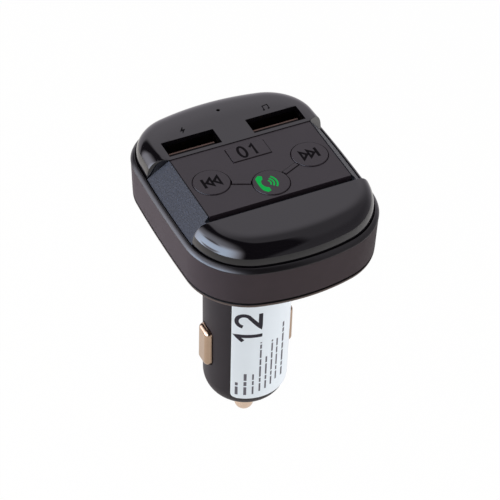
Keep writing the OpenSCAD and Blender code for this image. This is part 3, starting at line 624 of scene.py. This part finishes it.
def crown_room(top, end_w):
    """The room inside a crown, one wall in from its outside."""
    levels = [(SHELL_INSET + SHELL_T, SEAT_Z - OVERRUN)]
    for a in quarter_turns(8):
        levels.append((
            FLAT_INSET - (CROWN_W - SHELL_T) * math.cos(a),
            LINE_Z + (top - SHELL_T - LINE_Z) * math.sin(a),
            SHELL_INSET + end_w - (end_w - SHELL_T) * math.cos(a),
        ))
    return lofted("room", levels)


def without_side(piece, y, sweep, front):
    """Cuts away all in front of, or behind, a line across the panel that is swept over the flanks."""
    reach = 2 * HALF_W
    lean = sweep * (reach - FLANK_X) / CROWN_W
    far = -reach if front else reach
    line = [(-reach, y + lean), (-FLANK_X, y), (FLANK_X, y), (reach, y + lean)]
    region = [Vector(p) for p in line + [(reach, far), (-reach, far)]]
    return combine(piece, plate("side", region, -OVERRUN, CAP_Z + OVERRUN))


def make_window():
    """The smoked window in front: a hollow crown that stops at the panel."""
    piece = without_side(crown("smoked_window", PANEL_Z, CROWN_W), WINDOW_Y, WINDOW_SWEEP, front=False)
    room = crown_room(PANEL_Z, CROWN_W)
    combine(piece, without_side(room, WINDOW_Y - SHELL_T * WINDOW_REAR_SHARE, WINDOW_SWEEP, front=False))
    return smooth(piece, SOFT_EDGE)


def make_cap():
    """The rear cap with its two port openings and the microphone hole."""
    piece = without_side(crown("rear_cap", CAP_TOP, CAP_SLOPE_W), CAP_Y, CAP_SWEEP, front=True)
    room = crown_room(CAP_TOP, CAP_SLOPE_W)
    combine(piece, without_side(room, CAP_Y + PORT_WALL, CAP_SWEEP, front=True))
    low, high = CAP_Z - SHELL_T * 2, CAP_Z + OVERRUN
    for node in ("usb_shell_left", "usb_shell_right"):
        combine(piece, plate("port", rectangle(centre_of(node), PORT_W, PORT_D), low, high))
    combine(piece, plate("mic", circle(MIC_R, MIC_SIDES, centre_of("microphone")), low, high))
    return smooth(piece, SOFT_EDGE)


# Keys

def link_bar(name, side, margin, low, high):
    """A straight bar from the call key to a side key."""
    call = centre_of("call_button").xy
    other = centre_of("next_button" if side > 0 else "previous_button").xy
    way = (other - call).normalized()
    across = Vector((-way.y, way.x)) * (LINK_W / 2 + margin)
    start = call + way * (KEY_R + SLOT_GAP - margin)
    stop = other - way * (KEY_R + SLOT_GAP - margin)
    return plate(name, [start - across, stop - across, stop + across, start + across], low, high)


def channel_size():
    """The channel key's size above its flange."""
    low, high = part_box("channel_button")
    return (high - low) - Vector((2 * KEY_FLANGE_W, 2 * KEY_FLANGE_W, 0))


def make_panel():
    """The inlaid panel with openings for the keys and for the bars between them."""
    across = panel_high.x - panel_low.x
    deep = panel_high.y - panel_low.y + REAR_CLOSE
    middle = (panel_low + panel_high) / 2 + Vector((0, REAR_CLOSE / 2, 0))
    piece = plate("keypad_inlay", rectangle(middle, across, deep), PANEL_FOOT, PANEL_Z)
    low, high = PANEL_FOOT - OVERRUN, PANEL_Z + OVERRUN
    for node in ("previous_button", "call_button", "next_button"):
        combine(piece, plate("hole", circle(KEY_R + FIT_GAP, ROUND_SIDES, centre_of(node)), low, high))
    size = channel_size()
    opening = rectangle(centre_of("channel_button"), size.x + 2 * FIT_GAP, size.y + 2 * FIT_GAP)
    combine(piece, plate("hole", opening, low, high))
    for side in (-1, 1):
        combine(piece, link_bar("slot", side, FIT_GAP, low, high))
    return smooth(piece, FINE_EDGE)


def make_round_key(key):
    """A round key with a sloping rim, a flange that stops it under the panel, and a plunger."""
    spot = centre_of(key + "_button")
    flange_r = KEY_R + KEY_FLANGE_W
    flange_z = PANEL_FOOT - KEY_FLANGE_T
    profile = [
        (0, STEM_FOOT), (KEY_STEM_R, STEM_FOOT), (KEY_STEM_R, flange_z), (flange_r, flange_z),
        (flange_r, PANEL_FOOT), (KEY_R, PANEL_FOOT), (KEY_R, PANEL_Z), (KEY_R - KEY_RIM, KEY_TOP),
        (0, KEY_TOP),
    ]
    piece = turned(key + "_cap", profile, ROUND_SIDES)
    piece.data.transform(Matrix.Translation((spot.x, spot.y, 0)))
    return smooth(piece, FINEST_EDGE)


def make_channel_key():
    """The square-cut key with its flange and plunger."""
    spot = centre_of("channel_button")
    size = channel_size()
    middle_z = PANEL_FOOT - KEY_FLANGE_T / 2
    piece = plate("channel_cap", rectangle(spot, size.x, size.y), middle_z, KEY_TOP)
    foot = rectangle(spot, size.x + 2 * KEY_FLANGE_W, size.y + 2 * KEY_FLANGE_W)
    combine(piece, plate("foot", foot, PANEL_FOOT - KEY_FLANGE_T, PANEL_FOOT), "UNION")
    combine(piece, plate("stem", circle(KEY_STEM_R, STEM_SIDES, spot), STEM_FOOT, middle_z), "UNION")
    return smooth(piece, SOFT_EDGE)


def make_links():
    """The two bars that join the round keys' openings, as one piece."""
    piece = link_bar("keypad_links", -1, 0, PANEL_FOOT, KEY_TOP)
    combine(piece, link_bar("link", 1, 0, PANEL_FOOT, KEY_TOP), "UNION")
    return smooth(piece, SOFT_EDGE)


# Plug

def barrel_wall():
    """Points of the barrel's outside from the head down to the nose's flat."""
    nose = []
    for a in quarter_turns(18):
        nose.append((LOW_R - NOSE_R + NOSE_R * math.cos(a), NOSE_START - NOSE_R * math.sin(a)))
    return [(LAND_R, 0), (LAND_R, -LAND_L)] + nose


def wall_at(z):
    """The barrel's outer radius at a height."""
    points = barrel_wall()
    for (upper_r, upper_z), (lower_r, lower_z) in zip(points, points[1:]):
        if lower_z <= z <= upper_z:
            return upper_r + (lower_r - upper_r) * (upper_z - z) / (upper_z - lower_z)
    return points[0][0]


def contact_outline(x, inset, corner_steps=12):
    """A side contact's upright rounded outline at an x, drawn in by an inset."""
    half_w = CONTACT_W / 2 - CONTACT_CORNER_R
    half_h = CONTACT_H / 2 - CONTACT_CORNER_R
    radius = CONTACT_CORNER_R - inset
    ring = []
    for i, j, first in ((1, 1, 0), (-1, 1, 1), (-1, -1, 2), (1, -1, 3)):
        for k in range(corner_steps + 1):
            a = QUARTER_TURN * (first + k / corner_steps)
            y = i * half_w + radius * math.cos(a)
            ring.append((x, y, CONTACT_Z + j * half_h + radius * math.sin(a)))
    return ring


def rounded_slab(name, near, far, margin=0.0, edge=0.0):
    """A side contact's outline, widened by a margin and pushed along +X. Its outer edge can be rounded."""
    levels = [(near, 0)]
    if edge:
        levels += [(far - backward, inset) for backward, inset in rounded_edge(edge)]
    else:
        levels.append((far, 0))
    return piece_from_rings(name, [contact_outline(x, inset - margin) for x, inset in levels])


def make_barrel():
    """The hollow barrel with its shoulder in the cover, its nose and a slot for each side contact."""
    neck_r = LAND_R - NECK_GAP
    sleeve_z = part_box("tip_seat")[0].z
    inside = [
        (TIP_HOLE_R, NOSE_Z), (TIP_HOLE_R, CHAMBER_Z), (CHAMBER_R, CHAMBER_Z), (CHAMBER_R, sleeve_z),
        (SLEEVE_R, sleeve_z), (SLEEVE_R, CAVITY_Z), (BORE_R, CAVITY_Z), (BORE_R, barrel_high.z),
    ]
    shoulder = [
        (barrel_high.x, barrel_high.z), (barrel_high.x, COVER_FLOOR_T),
        (neck_r, COVER_FLOOR_T), (neck_r, 0),
    ]
    piece = turned("barrel_body", shoulder + barrel_wall() + inside, BARREL_SIDES)
    for side in (1, -1):
        slot = rounded_slab("slot", SLEEVE_R + OVERRUN, LAND_R + OVERRUN, margin=SLOT_GAP)
        combine(piece, slot if side > 0 else mirrored(slot))
    return smooth(piece, SOFT_EDGE)


def make_contact(name, side):
    """A pressed shoe with rounded outer edges and a lip behind the barrel's wall."""
    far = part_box("side_contact_right")[1].x
    near = BORE_R - CONTACT_LIP_T - FIT_GAP
    piece = rounded_slab(name, near, far, edge=CONTACT_EDGE_R)
    combine(piece, rounded_slab("lip", near, near + CONTACT_LIP_T, margin=CONTACT_LIP), "UNION")
    return smooth(piece if side > 0 else mirrored(piece), FINE_EDGE)


def make_tip():
    """The centre tip: a pin with a round end and a flange that the spring stands on."""
    low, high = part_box("center_tip")
    flange_z = high.z - TIP_FLANGE_T
    profile = [(TIP_R * math.sin(a), low.z + TIP_R * (1 - math.cos(a))) for a in quarter_turns(16)]
    profile += [(TIP_R, flange_z), (high.x, flange_z), (high.x, high.z), (0, high.z)]
    return smooth(turned("tip_pin", profile, ROUND_SIDES), FINE_EDGE)


def add_springs(finishes):
    """Copies of the CAD's coils, which stand in for them."""
    board_low, board_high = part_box("power_board")
    tip_seat = Vector((0, 0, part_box("tip_seat")[0].z))
    left_seat = Vector((board_low.x, 0, CONTACT_Z))
    right_seat = Vector((board_high.x, 0, CONTACT_Z))
    upwards = Vector((0, 0, 1))
    sideways = Vector((1, 0, 0))
    springs = (
        ("tip_coil", "tip_spring", "tip_press", upwards, tip_seat),
        ("left_coil", "left_contact_spring", "left_contact_press", sideways, left_seat),
        ("right_coil", "right_contact_spring", "right_contact_press", sideways, right_seat),
    )
    for name, node, joint, axis, seat in springs:
        work = bmesh.new()
        work.from_mesh(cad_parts[node].data)
        piece = piece_from_mesh(name, work)
        dress(piece, "root", finishes["steel"], node)
        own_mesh(piece)


def label_sheet(work, thick, steps=96):
    """One face of the sticker as rows of points from its top down, cut short where a corner is round."""
    low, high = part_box("label")
    rows = []
    for i in range(steps + 1):
        z = high.z + (low.z - high.z) * i / steps
        near = min(z - low.z, high.z - z, LABEL_CORNER_R)
        trim = LABEL_CORNER_R - math.sqrt(LABEL_CORNER_R ** 2 - (LABEL_CORNER_R - near) ** 2)
        first = LABEL_FROM + trim / LAND_R
        last = LABEL_FROM + LABEL_ANGLE - trim / LAND_R
        radius = wall_at(z) + thick
        turns = (first + (last - first) * j / steps for j in range(steps + 1))
        rows.append([work.verts.new((radius * math.cos(a), radius * math.sin(a), z)) for a in turns])
    return rows


def rim_of(rows):
    """The points round a sheet of rows, as one loop."""
    return rows[0] + [row[-1] for row in rows[1:]] + rows[-1][-2::-1] + [row[0] for row in rows[-2:0:-1]]


def make_label():
    """A thin sticker on the barrel's right front, with rounded corners."""
    work = bmesh.new()
    sheets = [label_sheet(work, thick) for thick in (0.0, LABEL_T)]
    for rows in sheets:
        for upper, lower in zip(rows, rows[1:]):
            for j in range(len(upper) - 1):
                work.faces.new((upper[j], lower[j], lower[j + 1], upper[j + 1]))
    inner, outer = (rim_of(rows) for rows in sheets)
    for i in range(len(inner)):
        j = (i + 1) % len(inner)
        work.faces.new((inner[i], inner[j], outer[j], outer[i]))
    return smooth(piece_from_mesh("sticker", work))


# Marks: generic pictures, plain numbers and plain rules. Their strokes are written in millimetres.

SKIP_BAR = 0.65
SKIP_STROKE = 0.68
HANDSET_WAVES = ((1.15, 42, 0.36), (1.85, 44, 0.38), (2.6, 44, 0.42))
NOTE_STROKE = 0.22
DIGIT_STROKE = 0.6
LABEL_STROKE = 1.0
WIDE_RULE = 0.7
FOOT_RULE = 0.6
FINE_RULE = 0.42
DASHES = (2.6, 1.3, 3.4, 1.9)
DASH_GAP = 0.45
CURVE_STEP = 0.5


def stroke(points, width, closed=False):
    """A stroke's points, its width at each point and whether it is closed. One width serves them all."""
    widths = list(width) if isinstance(width, (list, tuple)) else [width] * len(points)
    return [Vector(p) * MM for p in points], [w * MM for w in widths], closed


def arc(centre, radius, first, last, steps=10, stretch=1.0):
    """Points from a first to a last angle in degrees, round a circle that can be stretched upwards."""
    turns = [math.radians(first + (last - first) * i / steps) for i in range(steps + 1)]
    return [(centre[0] + radius * math.cos(a), centre[1] + radius * stretch * math.sin(a)) for a in turns]


def finely(points):
    """The same run of points with its long reaches split, so that it can follow a curved surface."""
    result = [points[0]]
    for one, two in zip(points, points[1:]):
        steps = max(1, math.ceil(math.dist(one, two) / CURVE_STEP))
        result += [
            (one[0] + (two[0] - one[0]) * i / steps, one[1] + (two[1] - one[1]) * i / steps)
            for i in range(1, steps + 1)
        ]
    return result


def edges_of(points, widths, closed):
    """The left and right edges of a stroke, mitred at its bends."""
    lefts, rights = [], []
    count = len(points)
    for i, here in enumerate(points):
        ways = []
        if closed or i:
            ways.append((here - points[i - 1]).normalized())
        if closed or i < count - 1:
            ways.append((points[(i + 1) % count] - here).normalized())
        way = sum(ways, Vector((0, 0))).normalized()
        across = Vector((-way.y, way.x))
        stretch = 1 / max(way.dot(ways[0]), SHARPEST_MITRE)
        lefts.append(here + across * widths[i] / 2 * stretch)
        rights.append(here - across * widths[i] / 2 * stretch)
    return lefts, rights


def laid_strokes(name, strokes, place):
    """Thin solid strokes whose foot is sunk in a surface. Place turns (across, up, height) into a point."""
    work = bmesh.new()
    for points, widths, closed in strokes:
        lefts, rights = edges_of(points, widths, closed)
        sections = []
        for left, right in zip(lefts, rights):
            corners = ((left, -INK_ROOT), (right, -INK_ROOT), (right, INK_T), (left, INK_T))
            sections.append([work.verts.new(place(p.x, p.y, height)) for p, height in corners])
        for one, two in zip(sections, sections[1:] + (sections[:1] if closed else [])):
            for k in range(4):
                work.faces.new((one[k], one[(k + 1) % 4], two[(k + 1) % 4], two[k]))
        if not closed:
            work.faces.new(sections[0])
            work.faces.new(list(reversed(sections[-1])))
    return piece_from_mesh(name, work)


def on_top(spot, z, turn=1):
    """Places a mark flat on a level surface, mirrored left to right where the turn is -1."""
    return lambda across, up, height: (spot[0] + across * turn, spot[1] + up, z + height)


def on_label(across, up, height):
    """Places a mark on the sticker. Across runs up the barrel from its foot, and up runs leftwards."""
    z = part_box("label")[0].z + across
    angle = LABEL_FROM + LABEL_ANGLE / 2 - up / LAND_R
    radius = wall_at(z) + LABEL_T + height * LABEL_INK_GAIN
    return radius * math.cos(angle), radius * math.sin(angle), z


# The skip marks' dark strokes are painted shade: they stand for the shaded walls of engraved recesses.
SKIP_MARK = [
    stroke([(-1.8, -1.5), (-1.8, 1.6)], SKIP_BAR),
    stroke([(-1.15, 0.1), (0.1, 1.35), (0.1, -1.15)], SKIP_STROKE, closed=True),
    stroke([(0.6, 0.1), (1.9, 1.4), (1.9, -1.3)], SKIP_STROKE, closed=True),
]
CALL_MARK = [
    stroke(
        [(-1.25, 2.1), (-1.75, 2.25), (-2.25, 1.9), (-2.5, 1.1), (-2.6, 0.2), (-2.5, -0.7), (-2.2, -1.5),
         (-1.7, -2.0), (-1.15, -2.0)],
        [1.0, 1.5, 1.35, 0.95, 0.8, 0.95, 1.35, 1.5, 1.0],
    ),
] + [
    stroke(arc((-1.3, 0.05), radius, -turn, turn), width) for radius, turn, width in HANDSET_WAVES
]
CHANNEL_MARK = [
    stroke(arc((-1.4, 0.15), 0.85, 0, 345, steps=23, stretch=2.15), DIGIT_STROKE, closed=True),
    stroke([(0.75, 1.0), (1.55, 1.85), (1.55, -1.65)], DIGIT_STROKE),
]
BOLT_MARK = [
    stroke([(0.35, 1.05), (-0.3, 0.0), (0.3, 0.0), (-0.35, -1.05)], [0.15, 0.5, 0.5, 0.08]),
]
NOTE_MARK = [
    stroke([(-0.65, -0.75), (-0.65, 0.65), (0.65, 0.85), (0.65, -0.55)], NOTE_STROKE),
    stroke([(-1.05, -0.8), (-0.85, -0.8), (-0.6, -0.7)], [0.25, 0.5, 0.3]),
    stroke([(0.25, -0.6), (0.45, -0.6), (0.7, -0.5)], [0.25, 0.5, 0.3]),
]
LABEL_MARK = [
    stroke(finely([(19.2, 8.0), (20.8, 9.6), (20.8, 3.4)]), LABEL_STROKE),
    stroke(finely(arc((25.6, 7.8), 1.8, 170, -35, steps=14) + [(23.5, 3.9), (27.8, 3.9)]), LABEL_STROKE),
]


def rule(up, first, last, width):
    """A plain broken rule along the sticker."""
    dashes = []
    place, turn = first, 0
    while place < last:
        end = min(place + DASHES[turn % len(DASHES)], last)
        dashes.append(stroke(finely([(place, up), (end, up)]), width))
        place, turn = end + DASH_GAP, turn + 1
    return dashes


def label_rules():
    """Rules from the sticker's left edge to its right, each with its own start, end and width."""
    rules = (
        (9.3, 1.4, 5.4, WIDE_RULE), (7.2, 1.4, 8.4, WIDE_RULE), (-3.0, 4.2, 21.5, FOOT_RULE),
        (5.3, 1.6, 8.2, FINE_RULE), (3.6, 2.3, 18.4, FINE_RULE), (2.1, 2.7, 13.4, FINE_RULE),
        (0.6, 3.4, 18.0, FINE_RULE), (-0.9, 4.3, 17.6, FINE_RULE),
    )
    return [dash for line in rules for dash in rule(*line)]


def on_key(node, turn=1):
    """Places a mark on the middle of a key's top."""
    return on_top(centre_of(node), KEY_TOP, turn)


def add_marks(finishes):
    """Lays every mark on its surface as thin strokes, where it moves with that surface's body. The skip
    marks' dark strokes are painted shade.
    """
    places = (
        ("previous_mark", "previous_key", SKIP_MARK, "mark_ink_and_painted_shade", on_key("previous_button")),
        ("next_mark", "next_key", SKIP_MARK, "mark_ink_and_painted_shade", on_key("next_button", -1)),
        ("call_mark", "call_key", CALL_MARK, "green_ink", on_key("call_button")),
        ("channel_mark", "channel_key", CHANNEL_MARK, "mark_ink_and_painted_shade", on_key("channel_button")),
        ("charge_mark", "root", BOLT_MARK, "mark_ink_and_painted_shade", on_top(CHARGE_SPOT, CAP_TOP)),
        ("label_number", "root", LABEL_MARK, "label_ink", on_label),
        ("label_rules", "root", label_rules(), "rule_ink", on_label),
        ("music_mark", "root", NOTE_MARK, "mark_ink_and_painted_shade", on_top(MUSIC_SPOT, CAP_TOP)),
    )
    for name, body, strokes, mark_finish, place in places:
        dress(laid_strokes(name, strokes, place), body, finishes[mark_finish])


# Studio

def add_camera():
    """The photograph's camera. The middle of the panel is seen at the aim's place in the picture."""
    azimuth, elevation, roll = (math.radians(v) for v in (-26.58, 41.75, 1.74))
    focal, distance = 2451.8, 544.45 * MM
    aim = Vector((250.95, 155.07))
    middle = 250
    back = Vector((
        math.sin(azimuth) * math.cos(elevation),
        -math.cos(azimuth) * math.cos(elevation),
        math.sin(elevation),
    ))
    level = Vector((0, 0, 1)).cross(back).normalized()
    upright = back.cross(level)
    right = level * math.cos(roll) + upright * math.sin(roll)
    up = upright * math.cos(roll) - level * math.sin(roll)
    off = (aim - Vector((middle, middle))) * distance / focal
    place = Vector((0, 0, PANEL_Z)) + back * distance - right * off.x + up * off.y
    lens = bpy.data.cameras.new("camera")
    lens.lens = focal * lens.sensor_width / (2 * middle)
    lens.clip_start = 0.01
    camera = bpy.data.objects.new("camera", lens)
    camera.matrix_world = Matrix.Translation(place) @ Matrix((right, up, back)).transposed().to_4x4()
    bpy.context.scene.collection.objects.link(camera)
    bpy.context.scene.camera = camera


def add_softbox(name, way, distance, size, power, colour):
    """A soft lamp that shines at the origin. Gloss doesn't see it, but only the surroundings."""
    lamp = bpy.data.lights.new(name, "AREA")
    lamp.shape = "RECTANGLE"
    lamp.size, lamp.size_y = size
    lamp.energy = power
    lamp.color = colour
    light = bpy.data.objects.new(name, lamp)
    way = Vector(way).normalized()
    light.location = way * distance
    light.rotation_mode = "QUATERNION"
    light.rotation_quaternion = way.to_track_quat("Z", "Y")
    light.visible_glossy = False
    bpy.context.scene.collection.objects.link(light)


def light_studio():
    """Each lamp with its direction, distance, size, power and colour."""
    lamps = (
        ("left_front", (-0.95, -0.25, 0.06), 0.7, (0.34, 0.30), 0.25, (0.9, 0.96, 1.0)),
        ("left_back", (-0.75, 0.62, 0.1), 0.8, (0.5, 0.35), 3.2, (1.0, 0.92, 0.87)),
        ("right_front", (0.85, -0.5, 0.06), 0.8, (0.4, 0.3), 1.8, (1.0, 0.98, 1.0)),
        ("overhead", (0.1, -0.25, 1.0), 1.0, (0.5, 0.5), 1.2, (1.0, 0.97, 0.97)),
    )
    for lamp in lamps:
        add_softbox(*lamp)


def seen_in_gloss(nodes, x, y, z):
    """How bright gloss sees each direction, and the share of it that is the cool window's."""
    gap_glow, window_glow, side_glow = 0.02, 9.0, 0.6
    # Pale walls behind and on the right begin at an edge that bends left overhead and low down
    lean = nodes.between(z, 0.8, 0.97, 0.0, 0.35) + nodes.between(z, 0.3, -0.35, 0.0, 0.35)
    opening = nodes.between(x + y * 0.25 + lean, 0.04, 0.2)
    wall = opening * nodes.between(y, 0.0, 0.6, 0.55, 1.1) * nodes.between(z, 0.1, 0.6, 0.65, 1.0)
    wall = wall * nodes.between(x, 0.55, 0.9, 1.0, 0.85)
    # The window on the left is brightest low down and in front, and dims straight left but at the level
    window = nodes.between(x, -0.45, -0.9) * nodes.between(z, 0.45, 0.05, 0.32, 1.0)
    window = window * nodes.between(y, 0.7, 0.2, 0.45, 1.0)
    window = window * (1 - nodes.between(x, -0.9, -0.96) * nodes.between(z * z, 0.03, 0.06, 0.0, 0.8))
    # A dim patch of wall on the left, behind the window
    side = nodes.between(x, -0.48, -0.62) * nodes.between(y, 0.25, 0.5) * nodes.between(z, 0.75, 0.45)
    return gap_glow + wall + window * window_glow + side * side_glow, window


def surroundings():
    """White to the camera, even to matt surfaces, and walls, a dark gap and a window to gloss."""
    fill = 0.72
    white = [1, 1, 1, 1]
    wall_tint = [1.0, 0.95, 1.04, 1]
    window_tint = [0.8, 0.95, 1.2, 1]
    fill_tint = [1.0, 0.985, 0.965, 1]
    world = bpy.data.worlds.new("studio")
    world.use_nodes = True
    bpy.context.scene.world = world
    nodes = Nodes(world.node_tree)
    way = nodes.add("ShaderNodeTexCoord", output="Generated")
    x, y, z = (nodes.add("ShaderNodeSeparateXYZ", None, {0: way}, output=i) for i in range(3))
    shine, window = seen_in_gloss(nodes, x, y, z)
    camera = nodes.add("ShaderNodeLightPath", output="Is Camera Ray")
    glossy = nodes.add("ShaderNodeLightPath", output="Is Glossy Ray")
    level = camera + (1 - camera) * (glossy * shine + (1 - glossy) * fill)
    tint = nodes.blend(glossy, fill_tint, nodes.blend(window, wall_tint, window_tint))
    colour = nodes.blend(camera, tint, white)
    light = nodes.add("ShaderNodeBackground", None, {"Color": colour, "Strength": level})
    nodes.add("ShaderNodeOutputWorld", None, {"Surface": light})


def add_floor():
    """A wide pale floor well below the plug's tip. To the camera most of it glows white."""
    reach, drop, glow_share = 0.8, 0.22, 0.96
    shade, sides = 0.3, 96
    dull, bright, white = [0.9, 0.9, 0.9, 1], [0.94, 0.94, 0.94, 1], [1, 1, 1, 1]
    work = bmesh.new()
    bmesh.ops.create_circle(work, cap_ends=True, segments=sides, radius=reach)
    floor = piece_from_mesh("floor", work)
    floor.location.z = cad_box[0].z - drop
    material = bpy.data.materials.new("floor_white")
    material.use_nodes = True
    nodes = Nodes(material.node_tree)
    pale = nodes.blend(nodes.noise(shade), dull, bright)
    paper = nodes.add("ShaderNodeBsdfDiffuse", None, {"Color": pale})
    glow = nodes.add("ShaderNodeEmission", None, {"Color": white, "Strength": 1.0})
    camera = nodes.add("ShaderNodeLightPath", output="Is Camera Ray")
    mixed = nodes.add("ShaderNodeMixShader", None, {0: camera * glow_share, 1: paper, 2: glow})
    nodes.add("ShaderNodeOutputMaterial", None, {"Surface": mixed})
    floor.data.materials.append(material)


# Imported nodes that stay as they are, under the finish that each takes
NODE_FINISHES = {
    "flank_texture": ["key_deck"],
    "circuit_board": ["main_board", "power_board"],
    "steel": ["board_screws", "crystal", "microphone"],
    "tongue_plastic": ["usb_tongue_left", "usb_tongue_right"],
    "black_plastic": ["board_header", "previous_switch", "next_switch", "call_switch", "channel_switch"],
    "stem_plastic": ["previous_switch_stem", "next_switch_stem", "call_switch_stem", "channel_switch_stem"],
    "pale_plastic": ["display_module"],
    "chip_black": ["radio_chip", "inductor", "regulator_chip"],
    "can_sleeve": ["input_capacitor"],
    "nickel": ["tip_seat"],
    "dark_steel": ["usb_shell_left", "usb_shell_right"],
    "gold_contact": ["usb_contacts_left", "usb_contacts_right"],
}


def dress_kept_nodes(finishes):
    """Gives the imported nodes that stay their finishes."""
    for name, nodes in NODE_FINISHES.items():
        for node in nodes:
            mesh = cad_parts[node].data
            mesh.materials.clear()
            mesh.materials.append(finishes[name])


def build():
    add_camera()
    finishes = make_finishes()
    dress_kept_nodes(finishes)
    pieces = (
        (make_cover(), "root", "bottom_cover", "cover_shell_painted_light_and_shade"),
        (make_housing(), "root", "mid_housing", "matte_shell"),
        (make_ring(), "root", "trim_ring", "gloss_ring"),
        (make_window(), "root", "display_window", "gloss_shell"),
        (make_cap(), "root", "usb_cap", "gloss_shell"),
        (make_panel(), "root", "key_panel", "panel_plastic"),
        (make_links(), "root", "key_links", "panel_plastic"),
        (make_round_key("previous"), "previous_key", "previous_button", "panel_plastic"),
        (make_round_key("next"), "next_key", "next_button", "panel_plastic"),
        (make_round_key("call"), "call_key", "call_button", "panel_plastic"),
        (make_channel_key(), "channel_key", "channel_button", "panel_plastic"),
        (make_barrel(), "root", "plug_barrel", "barrel_plastic"),
        (make_contact("left_shoe", -1), "left_contact", "side_contact_left", "shoe_nickel_painted_shade"),
        (make_contact("right_shoe", 1), "right_contact", "side_contact_right", "shoe_nickel_painted_shade"),
        (make_tip(), "tip", "center_tip", "nickel"),
        (make_label(), "root", "label", "label_film"),
    )
    for piece, body, node, name in pieces:
        dress(piece, body, finishes[name], node)
    add_springs(finishes)
    add_marks(finishes)
    light_studio()
    surroundings()
    add_floor()
    bpy.context.scene.view_settings.view_transform = "Standard"


build()
